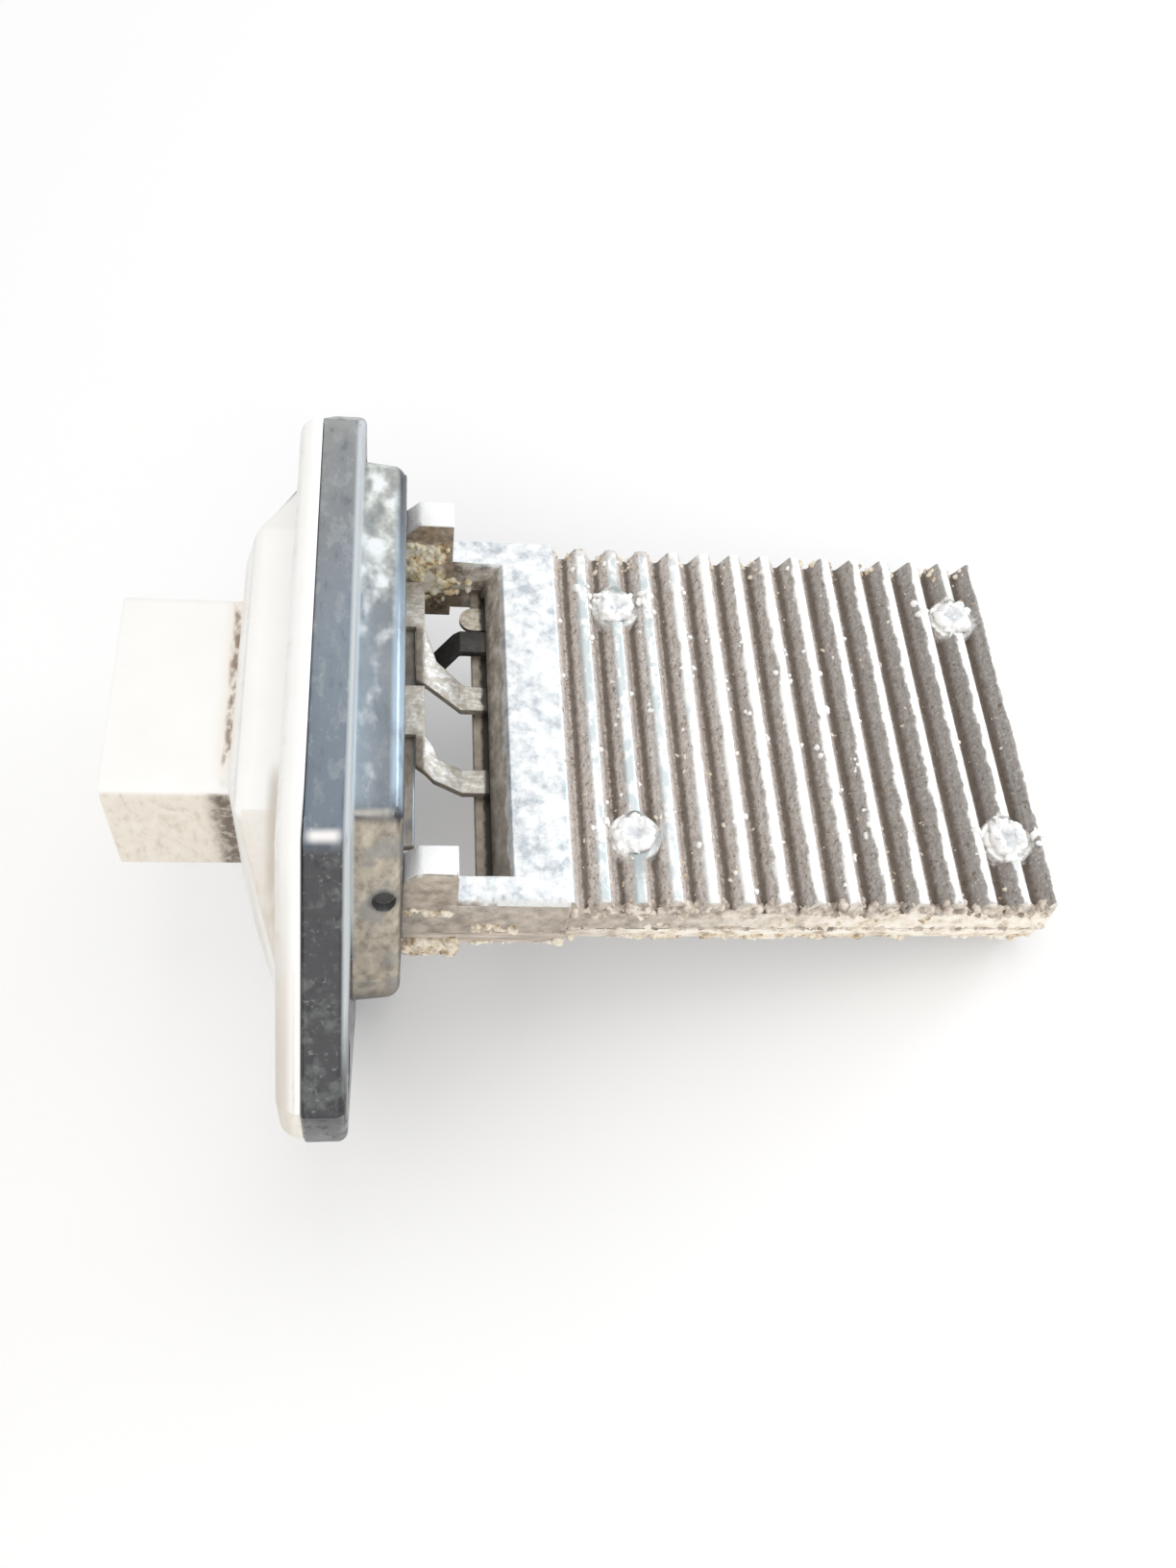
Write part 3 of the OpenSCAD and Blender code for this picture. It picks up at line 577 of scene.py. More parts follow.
# The film on top is dust, greyer towards the far end, and bluish towards the near end as a painted sky
# reflection.
dust_film_and_sheen = dark.ramp(
    dark.frayed(dark.y, cloud, 26, -30, 44), (0.0, 0.12, 0.155, 0.2), (0.3, 0.175, 0.215, 0.26),
    (0.62, 0.22, 0.235, 0.25), (0.95, 0.31, 0.31, 0.3))
dust_film_and_sheen = dark.tint(dust_film_and_sheen, dark.fade(smear, 0.5, 0.68), 0.4, (0.4, 0.42, 0.43))
dust_film_and_sheen = dark.tint(dust_film_and_sheen, dark.fade(smear, 0.44, 0.3), 0.5, (0.075, 0.095, 0.125))
collar_film = dark.ramp(cloud, (0.35, 0.1, 0.105, 0.105), (0.65, 0.25, 0.25, 0.235))
dust_film_and_sheen = dark.tint(dust_film_and_sheen, on_collar, 0.35, collar_film)
coat = dark.tint(resin, dark.where(nz=(0.75, 0.97)), 0.95, dust_film_and_sheen)
brown_dust = dark.ramp(smear, (0.32, 0.25, 0.215, 0.17), (0.48, 0.41, 0.36, 0.29), (0.68, 0.58, 0.51, 0.405))
wet_patch = dark.fade(dark.noise(3.4, 3, 0.5, seed=26), 0.52, 0.64)
brown_dust = dark.tint(brown_dust, wet_patch, 0.7, (0.27, 0.265, 0.255))
near_slope = dark.where(ny=(-0.3, -0.7), z=(-6, 0))
collar_slope = dark.all_of(on_collar, near_slope)
coat = dark.blend(collar_slope, coat, brown_dust)
shelf = dark.where(x=(COLLAR_END_X, COLLAR_END_X + 0.2))
coat = dark.tint(coat, shelf, 0.85, brown_dust)
dark.note("film and dust")

# %% Painted dent shade, chalk, blotches and specks
# The slope's own direction, so that the dent's surroundings are round on it.
DENT = Vector((3.25, -28.05, 11.8))
SLOPE_Y, SLOPE_Z = 0.443, 0.896
up_slope = dark.math(
    "ADD", dark.math("MULTIPLY", dark.minus(dark.y, DENT.y), SLOPE_Y),
    dark.math("MULTIPLY", dark.minus(dark.z, DENT.z), SLOPE_Z))
from_dent = dark.length(dark.minus(dark.x, DENT.x), up_slope)
# The small dent is painted darker, darkest at its floor, as painted shade.
dent = dark.where(on_collar, dark.frayed(from_dent, smear, 1.2, 1.9, 0.9), y=(-22, -25))
dent_shade_tone = dark.blend(near_slope, (0.17, 0.165, 0.155), (0.085, 0.085, 0.086))
coat = dark.tint(coat, dent, 0.9, dent_shade_tone)
bloom = dark.noise(2.3, 2, 0.5, stretch=(0.9, 1.4, 1), seed=29)
chalk_limit = dark.between(dark.where(y=(-16, 18)), 0.78, 0.36)
chalk = dark.where(
    on_collar, dark.fade(dark.minus(dark.shifted(bloom, smear, 0.3), chalk_limit), -0.2, 0.24), nz=(0.5, 0.9),
    x=(4.6, 3.4))
chalk_tone = dark.ramp(
    dark.shifted(bloom, dots, 0.25), (0.36, 0.4, 0.415, 0.38), (0.48, 0.62, 0.625, 0.585),
    (0.6, 0.86, 0.885, 0.88))
coat = dark.tint(coat, chalk, 0.9, chalk_tone)
blotches = dark.where(
    dark.fade(dark.noise(2.2, 4, 0.62, seed=32), 0.49, 0.66), dark.between(dark.where(y=(-26, -36)), 0.45, 1),
    nz=(0.97, 0.8), x=(0.0, -0.3))
coat = dark.tint(coat, blotches, 0.66, (0.125, 0.14, 0.135))
pale_specks = dark.all_of(dark.fade(dots, 0.58, 0.72), dark.fade(smear, 0.42, 0.6))
coat = dark.tint(coat, pale_specks, 0.32, (0.4, 0.43, 0.4))
dark.note("dent, chalk and specks")

# %% Painted highlights on the edges, and the finished flange
# A painted pale highlight along the plate's rounded edge in the crevice beside the collar.
crevice_highlight = dark.where(x=(-0.75, -0.25, 0.1, 0.5), z=(4, 12))
coat = dark.tint(coat, crevice_highlight, 0.85, (0.6, 0.63, 0.64))
# Painted highlights on the rounded kinks: near white on the plate, cream on the collar.
kink = dark.where(dark.fade(cloud, 0.25, 0.45), ny=(-0.5, -0.29, -0.27, -0.07), nz=(0.8, 0.9))
plate_kink_highlight = dark.where(kink, x=(-4.5, -3.2, -1.5, -0.3))
coat = dark.tint(coat, plate_kink_highlight, 0.9, (0.95, 0.91, 0.89))
coat = dark.blend(dark.all_of(on_collar, kink, dark.between(smear, 0.2, 1.1)), coat, (0.62, 0.57, 0.49))
# A painted bluish highlight along the collar's rounded edge, where the sky is mirrored; the same mask lowers
# the roughness there.
rubbed = dark.where(
    on_collar, dark.fade(cloud, 0.2, 0.5), nx=(0.1, 0.35), nz=(0.3, 0.6), y=(-22.5, -20.5, -14, 26))
coat = dark.tint(coat, rubbed, 0.85, (0.42, 0.55, 0.66))
dusty = dark.any_of(chalk, collar_slope, crevice_highlight, shelf, dark.fade(smear, 0.45, 0.85))
dark.grain((dots, 0.1, 0.05), (smear, 0.12, 0.1))
flange_plastic = dark.surface(coat, dark.between(dark.minus(dusty, rubbed), 0.18, 0.8))

# %% [markdown]
# ## Strip metal, mica and rivets
# The leads are tinned strip under patches of dust: pale on their faces, darker on their sides as painted
# shade, brown on the legs beside the collar and painted dark as shade where they enter the slot. The lower
# one is nearly black all over, its own dark colour and painted shade, since it lies below the others. One
# function makes all three strip metals, because they differ only in colour. The rivets are soft bright metal
# with a dull dimple where the setting tool struck.

# %% Finishes of the strip metals
SLOT_X = 14.2


def strip_finish(name, pale, dull, tarnish_and_shade, dust):
    """Tinned strip, painted darker on its sides and at the slot as painted shade, brown on the legs and
    tarnished in blotches, under patches of dust.
    """
    strip = Finish(name)
    blot = strip.noise(1.9, 4, 0.6, seed=16)
    scratch = strip.noise(0.6, 3, 0.6, stretch=(3, 0.6, 1), seed=17)
    # Side and lower faces are painted darker, as painted shade.
    rim_shade = strip.fade(strip.where(nz=(0.55, 0.9)), 0.9, 0.2)
    legs = strip.any_of(strip.where(y=(4.3, 5.0, 12.5, 13.2)), strip.where(y=(-9.5, -9, -3.0, -2.3)))
    beside_collar = strip.all_of(strip.frayed(strip.x, blot, 0.5, 7.6, 7.2), legs)
    stain_and_rim_shade = strip.any_of(rim_shade, strip.between(strip.fade(blot, 0.5, 0.7), 0, 0.5), beside_collar)
    colour = strip.tint(strip.ramp(scratch, (0.3, *dull), (0.65, *pale)), stain_and_rim_shade, 0.92, tarnish_and_shade)
    dusted = strip.fade(strip.noise(0.9, 5, 0.68, seed=31), 0.42, 0.6)
    colour = strip.tint(colour, dusted, 0.7, dust)
    # Painted near black where the strip enters the slot, as painted shade.
    slot_mouth_shade = strip.frayed(strip.x, blot, 1, SLOT_X, SLOT_X + 0.5)
    colour = strip.blend(slot_mouth_shade, colour, (0.05, 0.044, 0.038))
    strip.grain((scratch, 0.15, 0.05), (blot, 0.15, 0.1))
    return strip.surface(colour, strip.between(stain_and_rim_shade, 0.45, 0.8), strip.between(stain_and_rim_shade, 0.35, 0.05))


lead_strip = strip_finish(
    "lead_strip", pale=(0.8, 0.79, 0.755), dull=(0.52, 0.49, 0.435), tarnish_and_shade=(0.22, 0.185, 0.15),
    dust=(0.42, 0.36, 0.285))
# The lower lead is nearly black: its own dark colour, and painted shade, since it lies below the others.
lead_dark = strip_finish(
    "lead_dark", pale=(0.045, 0.045, 0.044), dull=(0.022, 0.022, 0.02), tarnish_and_shade=(0.015, 0.014, 0.013),
    dust=(0.055, 0.05, 0.044))
element_sheet = strip_finish(
    "element_sheet", pale=(0.74, 0.7, 0.6), dull=(0.58, 0.53, 0.44), tarnish_and_shade=(0.2, 0.16, 0.12),
    dust=(0.36, 0.3, 0.225))

# %% Finishes of the rivets and the mica
stake = Finish("rivet_metal")
blot = stake.noise(1.0, 5, 0.66, seed=18)
pitted = stake.noise(0.4, 2, seed=19)
silver = stake.ramp(blot, (0.3, 0.62, 0.61, 0.58), (0.38, 0.93, 0.92, 0.9), (0.5, 0.98, 0.975, 0.965))
dimple = stake.frayed(rivet_distance(stake), blot, 5.5, 1.9, 0.3)
silver = stake.tint(silver, dimple, 0.5, (0.5, 0.55, 0.6))
skirt = stake.where(stake.fade(blot, 0.4, 0.6), nz=(0.35, 0.0))
silver = stake.tint(silver, skirt, 0.3, (0.4, 0.34, 0.27))
stake.grain((pitted, 0.3, 0.1), (blot, 0.35, 0.25))
rivet_metal = stake.surface(silver, stake.between(blot, 0.4, 0.65), 0.12)

sheet = Finish("mica")
flake = sheet.noise(1.2, 4, 0.6, stretch=(2, 1, 1), seed=20)
amber = sheet.ramp(flake, (0.3, 0.3, 0.25, 0.195), (0.7, 0.56, 0.49, 0.4))
# Painted near black where the sheet enters the slot, as painted shade.
slot_mouth_shade = sheet.frayed(sheet.x, flake, 1, SLOT_X, SLOT_X + 0.5)
sheet.grain((flake, 0.15, 0.05))
mica = sheet.surface(sheet.blend(slot_mouth_shade, amber, (0.045, 0.038, 0.03)), sheet.between(flake, 0.5, 0.75))

# %% [markdown]
# ## Softened edges
# Real castings and mouldings have no razor edges, and a small round is what catches the light. Each solid
# is copied, its loose triangles are welded and joined into flat faces, and a Bevel modifier rounds the
# sharp edges. Edge weights let one modifier give the rib tops, the lugs and the flange's kinks a wider
# round than the rest. An edge that meets a short one gets a narrower round or none, so that nothing
# overlaps. The copy is shown in place of the solid, which stays behind, hidden. The copy then stands for
# the solid, which stays behind for collision.

# %% Rounding helper
WELD_MM = 0.002
SHARP = math.radians(28)
CREASED = math.radians(40)
WIDEST = 3.0


def plain_mesh(thing):
    """The mesh of an object with its modifiers applied."""
    evaluated = thing.evaluated_get(bpy.context.evaluated_depsgraph_get())
    return bpy.data.meshes.new_from_object(evaluated)


def add_piece(name, mesh, material):
    """A finished piece at the origin, carried by the one body."""
    mesh.materials.clear()
    mesh.materials.append(material)
    piece = show(name, mesh)
    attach(piece, "root")
    print(name, len(mesh.polygons), "faces")
    return piece


def flat_copy(node, edge_mm, wider, too_short):
    """A welded copy of a solid whose sharp edges carry the width of their round as a weight."""
    weld = bmesh.new()
    weld.from_mesh(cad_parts[node].data)
    bmesh.ops.remove_doubles(weld, verts=weld.verts, dist=WELD_MM * MM)
    bmesh.ops.dissolve_limit(weld, angle_limit=math.radians(1), verts=weld.verts, edges=weld.edges)
    weight = weld.edges.layers.float.new("bevel_weight_edge")
    for edge in weld.edges:
        if len(edge.link_faces) != 2 or edge.calc_face_angle(0) < SHARP:
            continue
        ends = edge.verts
        middle = (ends[0].co + ends[1].co) / 2 / MM
        way = (ends[1].co - ends[0].co).normalized()
        wide = wider(middle, way) if wider else None
        if wide is None:
            shortest = min(other.calc_length() for end in ends for other in end.link_edges) / MM
            wide = min(edge_mm, 0.4 * shortest) if shortest > too_short else 0
        edge[weight] = wide / WIDEST
    flat = bpy.data.meshes.new(node + "_flat")
    weld.to_mesh(flat)
    weld.free()
    return flat


def rounded(node, edge_mm, material, wider=None, segments=2, too_short=0.4):
    """A copy of a solid with rounded edges, for which wider(middle, way) may name another round."""
    holder = show(node + "_flat", flat_copy(node, edge_mm, wider, too_short))
    bevel = holder.modifiers.new("edge", "BEVEL")
    bevel.width = WIDEST * MM
    bevel.segments = segments
    bevel.limit_method = "WEIGHT"
    bevel.use_clamp_overlap = False
    mesh = plain_mesh(holder)
    bpy.data.objects.remove(holder)
    mesh.shade_smooth()
    mesh.set_sharp_from_angle(angle=CREASED)
    piece = add_piece(node + "_skin", mesh, material)
    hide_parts(node)
    return piece


print("edges over", round(math.degrees(SHARP)), "degrees get a round")

# %% Round the solids
LUG_END_X = 11.2
LAST_RIB_X = 78


def rib_tops(middle, way):
    """The long edges of the rib tops and the edges of the lugs are worn round, the lugs' ends are not."""
    if middle.z > RIB_TOP_Z - 0.05 and middle.x > RIB_FIELD_X - 0.2 and abs(way.y) > 0.9:
        return 0.38 if middle.x < LAST_RIB_X else 0.15
    if LUG_END_X - 0.5 < middle.x < LUG_END_X and abs(way.z) > 0.9:
        return 0
    if middle.x < LUG_END_X and middle.z > RIB_TOP_Z + 0.4:
        return 0.5
    return None


def kinks(middle, way):
    """The bends between the flange's top and its slopes are broad rounds."""
    if abs(middle.z) > 17 and abs(way.y) < 0.6 and 22 < abs(middle.y) < 28.5:
        return 1.6
    return None


upper = rounded("upper_heat_sink", 0.18, upper_cast, rib_tops, 3)
lower = rounded("lower_heat_sink", 0.25, lower_cast)
rounded("connector_housing", 0.4, housing_plastic, segments=3)
rounded("mounting_flange", 0.3, flange_plastic, kinks, 4, too_short=0)
rounded("far_lead", 0.15, lead_strip)
rounded("middle_lead", 0.15, lead_strip)
rounded("lower_lead", 0.15, lead_dark)

# %% Inner sheets keep their solids
sheets = {"upper_insulator": mica, "lower_insulator": mica, "resistor_element": element_sheet}
for node, paint in sheets.items():
    sheet_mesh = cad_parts[node].data
    sheet_mesh.materials.clear()
    sheet_mesh.materials.append(paint)
print("sheets finished:", len(sheets))

# %% [markdown]
# ## Geometry Nodes helpers
# What repeats or grows on a surface is made by Geometry Nodes. A few small functions help: one makes an
# empty tree with named inputs, one adds a node, and one runs a tree on a mesh once and hands back the plain
# result, so that no modifier is left on a finished piece.


# %% Tree helpers
def new_tree(name, **inputs):
    """A tree with a geometry input, the named inputs and a geometry output."""
    made = bpy.data.node_groups.new(name, "GeometryNodeTree")
    made.interface.new_socket("Geometry", in_out="INPUT", socket_type="NodeSocketGeometry")
    for label, kind in inputs.items():
        made.interface.new_socket(label, in_out="INPUT", socket_type="NodeSocket" + kind)
    made.interface.new_socket("Geometry", in_out="OUTPUT", socket_type="NodeSocketGeometry")
    return made, made.nodes.new("NodeGroupInput").outputs, made.nodes.new("NodeGroupOutput").inputs[0]


def add(tree, kind, feeds=(), **settings):
    """Adds a node, sets its properties, feeds its inputs by name or number and returns its outputs."""
    made = tree.nodes.new(kind)
    for key, value in settings.items():
        setattr(made, key, value)
    for socket, value in dict(feeds).items():
        target = made.inputs[socket]
        if isinstance(value, bpy.types.NodeSocket):
            tree.links.new(value, target)
        else:
            target.default_value = value
    return made.outputs


def crumple(tree, geometry, scale, reach):
    """Pushes every point by a noise of its place, with about scale waves to the metre."""
    place = add(tree, "GeometryNodeInputPosition")[0]
    wave = add(tree, "ShaderNodeTexNoise", {"Vector": place, "Scale": scale, "Detail": 2.0})
    centred = add(tree, "ShaderNodeVectorMath", {0: wave["Color"], 1: (0.5, 0.5, 0.5)}, operation="SUBTRACT")
    pushed = add(tree, "ShaderNodeVectorMath", {0: centred[0], "Scale": reach}, operation="SCALE")
    return add(tree, "GeometryNodeSetPosition", {"Geometry": geometry, "Offset": pushed[0]})["Geometry"]


def by_chance(tree, seed, power, low, high):
    """A different number from low to high on every point, small ones more often for a larger power."""
    made = add(tree, "FunctionNodeRandomValue", {2: 0.0, 3: 1.0, "Seed": seed}, data_type="FLOAT")
    uneven = add(tree, "ShaderNodeMath", {0: made[1], 1: power}, operation="POWER")
    return add(tree, "ShaderNodeMapRange", {"Value": uneven[0], "To Min": low, "To Max": high})[0]


def any_turn(tree, seed, most):
    """A different turn on every point, up to the given angles."""
    return add(
        tree, "FunctionNodeRandomValue", {0: (0, 0, 0), 1: most, "Seed": seed}, data_type="FLOAT_VECTOR")[0]


def larger(tree, a, b):
    return add(tree, "FunctionNodeCompare", {0: a, 1: b}, operation="GREATER_THAN")[0]


def both(tree, a, b):
    return add(tree, "FunctionNodeBooleanMath", {0: a, 1: b}, operation="AND")[0]


def close_tree(tree, geometry, paint, result):
    """Sets the material and hands the geometry out."""
    painted = add(tree, "GeometryNodeSetMaterial", {"Geometry": geometry, "Material": paint})
    tree.links.new(painted["Geometry"], result)


def run_tree(tree, mesh, values):
    """The plain mesh that a tree makes of a mesh, with its inputs set by identifier."""
    holder = show(tree.name + "_run", mesh)
    modifier = holder.modifiers.new("run", "NODES")
    modifier.node_group = tree
    for item in tree.interface.items_tree:
        if item.in_out == "INPUT" and item.name in values:
            modifier[item.identifier] = values[item.name]
    result = plain_mesh(holder)
    holder.modifiers.clear()
    bpy.data.objects.remove(holder)
    return result


FULL_TURN = 6.28
print("tree helpers ready")

# %% [markdown]
# ## Rivets
# Four rivets clamp the halves. Each head was struck by a tool, so no two are alike. One rivet is turned
# from a profile, a grid of two by two points places it, each copy is spun by chance, and a noise that
# differs from place to place crumples the heads.

# %% Turn one rivet
# The head's outline is given as radius and height above its seat, from the axis to the shank.
HEAD_SEAT = 4.7
LOWER_SHARE = 0.9
SPOKES = 40
head = [(0, 0.68), (0.6, 0.7), (1.0, 0.84), (1.4, 1.0), (1.85, 0.95), (2.2, 0.65), (2.4, 0.25), (2.3, -0.04),
        (1.6, -0.06)]
profile = [(r, HEAD_SEAT + h) for r, h in head]
profile += [(r, -HEAD_SEAT - LOWER_SHARE * h) for r, h in reversed(head)]
lathe = bmesh.new()
rings = []
for r, z in profile:
    turns = [2 * math.pi * i / SPOKES for i in range(SPOKES if r else 1)]
    rings.append([lathe.verts.new((r * MM * math.cos(t), r * MM * math.sin(t), z * MM)) for t in turns])
for a, b in zip(rings, rings[1:]):
    for i in range(SPOKES):
        j = (i + 1) % SPOKES
        corners = [a[i % len(a)], a[j % len(a)], b[j % len(b)], b[i % len(b)]]
        lathe.faces.new(list(dict.fromkeys(corners)))
bmesh.ops.recalc_face_normals(lathe, faces=lathe.faces)
one_rivet = bpy.data.meshes.new("one_rivet")
lathe.to_mesh(one_rivet)
lathe.free()
print("one rivet:", len(one_rivet.polygons), "faces")

# %% Set four rivets
tree, given, result = new_tree(
    "set_rivets", Length="Float", Width="Float", Middle="Vector", Crumple="Float", Seed="Int",
    Metal="Material")
grid = add(tree, "GeometryNodeMeshGrid", {
    "Size X": given["Length"], "Size Y": given["Width"], "Vertices X": 2, "Vertices Y": 2})
placed = add(tree, "GeometryNodeSetPosition", {"Geometry": grid["Mesh"], "Offset": given["Middle"]})
spin = any_turn(tree, given["Seed"], (0, 0, FULL_TURN))
copies = add(tree, "GeometryNodeInstanceOnPoints", {
    "Points": placed["Geometry"], "Instance": given["Geometry"], "Rotation": spin})
real = add(tree, "GeometryNodeRealizeInstances", {"Geometry": copies["Instances"]})
bent = crumple(tree, crumple(tree, real["Geometry"], 480.0, given["Crumple"]), 1400.0, 0.8 * MM)
smooth = add(tree, "GeometryNodeSetShadeSmooth", {"Geometry": bent})
close_tree(tree, smooth["Geometry"], given["Metal"], result)

rivet_mesh = run_tree(tree, one_rivet, {
    "Length": (RIVET_X[1] - RIVET_X[0]) * MM, "Width": 2 * RIVET_Y * MM,
    "Middle": (sum(RIVET_X) / 2 * MM, 0, 0), "Crumple": 2.2 * MM, "Seed": 4, "Metal": rivet_metal})
rivet_set = add_piece("staked_rivets", rivet_mesh, rivet_metal)
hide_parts("rivets")

# %% [markdown]
# ## Crumbs in the grooves
# Grit and bits of leaf lie in the grooves and cling to the rib flanks. They are scattered on the upper
# skin's own faces, but only where those faces lie below the rib tops inside the rib field. Each crumb is a
# small ball with a random turn and size, dented by noise, so every one sits on the metal that carries it.
# Crumbs and crusts share their finishes: cream grit, grey-brown dirt and a yellow crust that is dark at its
# foot.


# %% Finishes of the crumbs and crusts
def dirt_finish(name, blotch, flecks, depth, dullness, stops, foot=None):
    """Blotched dry dirt. blotch is size, detail and seed, flecks are size and seed, foot a tone low down."""
    soil = Finish(name)
    hue = soil.noise(blotch[0], blotch[1], 0.6, seed=blotch[2])
    fleck = soil.noise(flecks[0], 3, seed=flecks[1])
    soil.grain((fleck, 0.5, depth))
    tone = soil.ramp(hue, *stops)
    if foot:
        tone = soil.blend(soil.frayed(soil.z, hue, 3, -0.4, -1.2), tone, foot)
    return soil.surface(tone, soil.between(fleck, dullness, 0.95))


grit = dirt_finish("grit", (1.3, 3, 21), (0.35, 22), 0.12, 0.75, [
    (0.34, 0.38, 0.28, 0.19), (0.43, 0.7, 0.58, 0.43), (0.54, 0.88, 0.81, 0.68), (0.7, 0.93, 0.91, 0.86)])
side_dirt = dirt_finish("side_dirt", (1.5, 4, 34), (0.35, 35), 0.12, 0.75, [
    (0.34, 0.27, 0.22, 0.18), (0.46, 0.5, 0.43, 0.37), (0.56, 0.72, 0.64, 0.55), (0.7, 0.88, 0.82, 0.74)])
crust = dirt_finish("crust_brown", (1.7, 4, 23), (0.4, 24), 0.15, 0.7, [
    (0.36, 0.34, 0.22, 0.13), (0.43, 0.76, 0.59, 0.34), (0.51, 0.96, 0.85, 0.58), (0.62, 0.98, 0.94, 0.8)],
    foot=(0.17, 0.125, 0.085))

# %% Scatter the crumbs
tree, given, result = new_tree(
    "scatter_crumbs", Highest="Float", First="Float", Density="Float", Smallest="Float", Largest="Float",
    Seed="Int", Grit="Material")
spot = add(tree, "ShaderNodeSeparateXYZ", {0: add(tree, "GeometryNodeInputPosition")[0]})
lean = add(tree, "ShaderNodeSeparateXYZ", {0: add(tree, "GeometryNodeInputNormal")[0]})
in_groove = both(tree, larger(tree, given["Highest"], spot[2]), larger(tree, spot[0], given["First"]))
points = add(tree, "GeometryNodeDistributePointsOnFaces", {
    "Mesh": given["Geometry"], "Selection": both(tree, in_groove, larger(tree, lean[2], 0.2)),
    "Density": given["Density"], "Seed": given["Seed"]})
ball = add(tree, "GeometryNodeMeshIcoSphere", {"Radius": 1.0, "Subdivisions": 2})
size = by_chance(tree, given["Seed"], 4.0, given["Smallest"], given["Largest"])
squash = add(tree, "ShaderNodeVectorMath", {0: (0.9, 1.5, 0.6), "Scale": size}, operation="SCALE")
copies = add(tree, "GeometryNodeInstanceOnPoints", {
    "Points": points["Points"], "Instance": ball["Mesh"], "Scale": squash[0],
    "Rotation": any_turn(tree, given["Seed"], (FULL_TURN, FULL_TURN, FULL_TURN))})
real = add(tree, "GeometryNodeRealizeInstances", {"Geometry": copies["Instances"]})
close_tree(tree, crumple(tree, real["Geometry"], 2200.0, 0.5 * MM), given["Grit"], result)

crumb_mesh = run_tree(tree, upper.data.copy(), {
    "Highest": 5.35 * MM, "First": 23.3 * MM, "Density": 90000.0, "Smallest": 0.06 * MM, "Largest": 0.32 * MM,
    "Seed": 11, "Grit": grit})
add_piece("groove_crumbs", crumb_mesh, grit)

# %% [markdown]
# ## Crusts
# Road dirt has caked on the far lug, under the near lug, at the rib ends, along the seam and along the heat
# sink's near edge. The setting tool squeezed flash and lumps of bright metal out round the rivets, and the
# first ribs carry small burrs. A crust could be sculpted, but it follows a simple rule: it thickens where
# many grains meet. So points are scattered on the chosen faces of the skin, a noise thins them out to
# patches, each point becomes a small ball of fog, and the fog is turned into one lumpy skin.

# %% Tree that cakes a crust
VOXEL = 0.16 * MM
crust_tree, given, result = new_tree(
    "cake_crust", Low="Vector", High="Vector", Density="Float", Thinnest="Float", Thickest="Float",
    Crumple="Float", Bare="Float", Seed="Int", Crust="Material")
tree = crust_tree
place = add(tree, "GeometryNodeInputPosition")[0]
above = add(tree, "FunctionNodeCompare", {4: place, 5: given["Low"]}, data_type="VECTOR", mode="ELEMENT",
            operation="GREATER_EQUAL")
under = add(tree, "FunctionNodeCompare", {4: place, 5: given["High"]}, data_type="VECTOR", mode="ELEMENT",
            operation="LESS_EQUAL")
cover = add(tree, "ShaderNodeTexNoise", {"Vector": place, "Scale": 420.0, "Detail": 2.0})
wanted = both(tree, both(tree, above[0], under[0]), larger(tree, cover["Fac"], given["Bare"]))
points = add(tree, "GeometryNodeDistributePointsOnFaces", {
    "Mesh": given["Geometry"], "Density": given["Density"], "Seed": given["Seed"]})
outside = add(tree, "FunctionNodeBooleanMath", {0: wanted}, operation="NOT")
kept = add(tree, "GeometryNodeDeleteGeometry", {
    "Geometry": points["Points"], "Selection": outside[0]}, domain="POINT")
radius = by_chance(tree, given["Seed"], 2.0, given["Thinnest"], given["Thickest"])
fog = add(tree, "GeometryNodePointsToVolume", {
    "Points": kept["Geometry"], "Voxel Size": VOXEL, "Radius": radius}, resolution_mode="VOXEL_SIZE")
lump = add(tree, "GeometryNodeVolumeToMesh", {"Volume": fog["Volume"], "Threshold": 0.1})
bent = crumple(tree, crumple(tree, lump["Mesh"], 900.0, given["Crumple"]), 3200.0, 0.25 * MM)
smooth = add(tree, "GeometryNodeSetShadeSmooth", {"Geometry": bent})
real = add(tree, "GeometryNodeRealizeInstances", {"Geometry": smooth["Geometry"]})
close_tree(tree, real["Geometry"], given["Crust"], result)
print("crust tree:", len(tree.nodes), "nodes")


# %% Cake the crusts
def cake(name, skin, low_mm, high_mm, per_mm2, thinnest, thickest, seed, paint, rough_mm, bare):
    """A crust on the part of a skin inside a box, left bare where a noise is under the bare share."""
    mesh = run_tree(crust_tree, skin.data.copy(), {
        "Low": [v * MM for v in low_mm], "High": [v * MM for v in high_mm], "Density": per_mm2 / MM ** 2,
        "Thinnest": thinnest * MM, "Thickest": thickest * MM, "Crumple": rough_mm * MM, "Bare": bare,
        "Seed": seed, "Crust": paint})
    add_piece(name, mesh, paint)


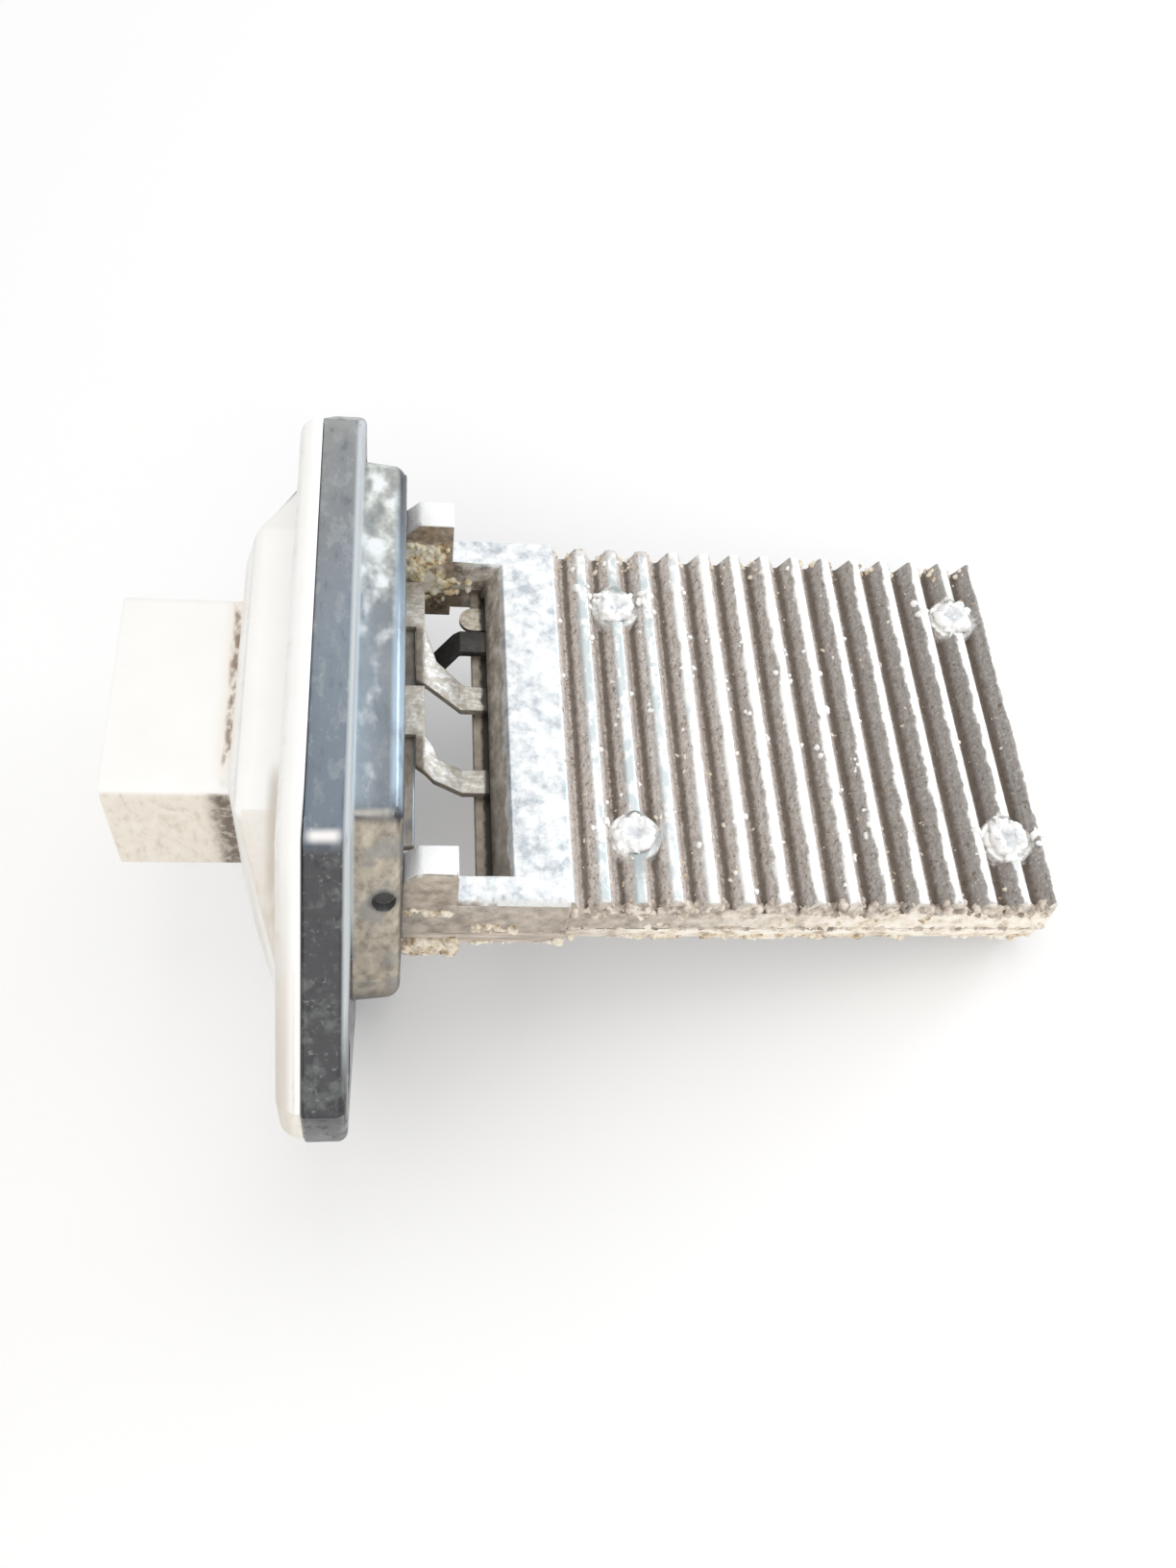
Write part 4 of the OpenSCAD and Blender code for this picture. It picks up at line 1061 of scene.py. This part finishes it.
# name, skin, low and high corner, grains per mm2, thinnest, thickest, seed, finish, crumple, bare share
CRUSTS = (
    ("far_lug_crust", upper, (5, 21, 2.6), (10.2, 21.7, 9), 6, 0.14, 0.5, 5, crust, 0.6, 0.45),
    ("far_arm_crust", upper, (6, 20.9, 0.1), (13.4, 21.7, 2.8), 6, 0.14, 0.55, 6, crust, 0.6, 0.44),
    ("far_foot_crust", lower, (5.1, 21, -3.6), (10.6, 22.2, -0.6), 4, 0.2, 0.55, 14, crust, 0.8, 0.38),
    ("near_patch_crust", upper, (12.8, -26, 0.2), (18, -24.6, 2.2), 3, 0.2, 0.5, 15, grit, 0.6, 0.45),
    ("near_lug_crust", lower, (5.1, -26, -4.9), (10.8, -25.3, -1.9), 2, 0.4, 1.1, 7, grit, 0.9, 0.3),
    ("near_arm_crust", upper, (5.1, -26, 4.4), (11.2, -25, 5.6), 5, 0.14, 0.45, 9, grit, 0.5, 0.38),
    ("near_edge_crust", lower, (12, -26, -3.5), (79.4, -24.5, -2.2), 3, 0.2, 0.5, 8, grit, 0.7, 0.48),
    ("near_side_crust", upper, (24, -25.6, 0.3), (79.2, -24.6, 3.8), 2.5, 0.12, 0.4, 12, grit, 0.6, 0.52),
    ("near_groove_crust", upper, (23.6, -25.4, 3), (78, -23.8, 4.7), 5, 0.18, 0.55, 10, side_dirt, 0.6, 0.44),
    ("seam_dirt", upper, (20, -26, -0.1), (79.4, -24.6, 0.35), 12, 0.12, 0.34, 34, side_dirt, 0.4, 0.3),
    ("far_groove_crust", upper, (23.6, 22.6, 3.1), (78, 25.2, 4.9), 2, 0.12, 0.4, 13, grit, 0.6, 0.5))
for row in CRUSTS:
    cake(*row)

# %% Squeeze metal out round the rivets
for number, (x, y) in enumerate((x, y) for x in RIVET_X for y in (-RIVET_Y, RIVET_Y)):
    low_corner, high_corner = (x - 4.8, y - 2.8, 4.9), (x + 4.4, y + 2.8, 5.8)
    cake("rivet_flash_%d" % (number + 1), upper, low_corner, high_corner, 2.5, 0.2, 0.6, 20 + number,
         rivet_metal, 0.8, 0.56)
cake("rivet_lumps", rivet_set, (RIVET_X[0] - 4, -20, 4.6), (RIVET_X[1] + 4, 20, 5.75), 1.3, 0.2, 0.7, 33,
     rivet_metal, 0.7, 0.5)
cake("rib_burrs", upper, (23.7, -24, 4.5), (60, 24.4, 5.45), 1.6, 0.14, 0.42, 31, rivet_metal, 0.5, 0.6)
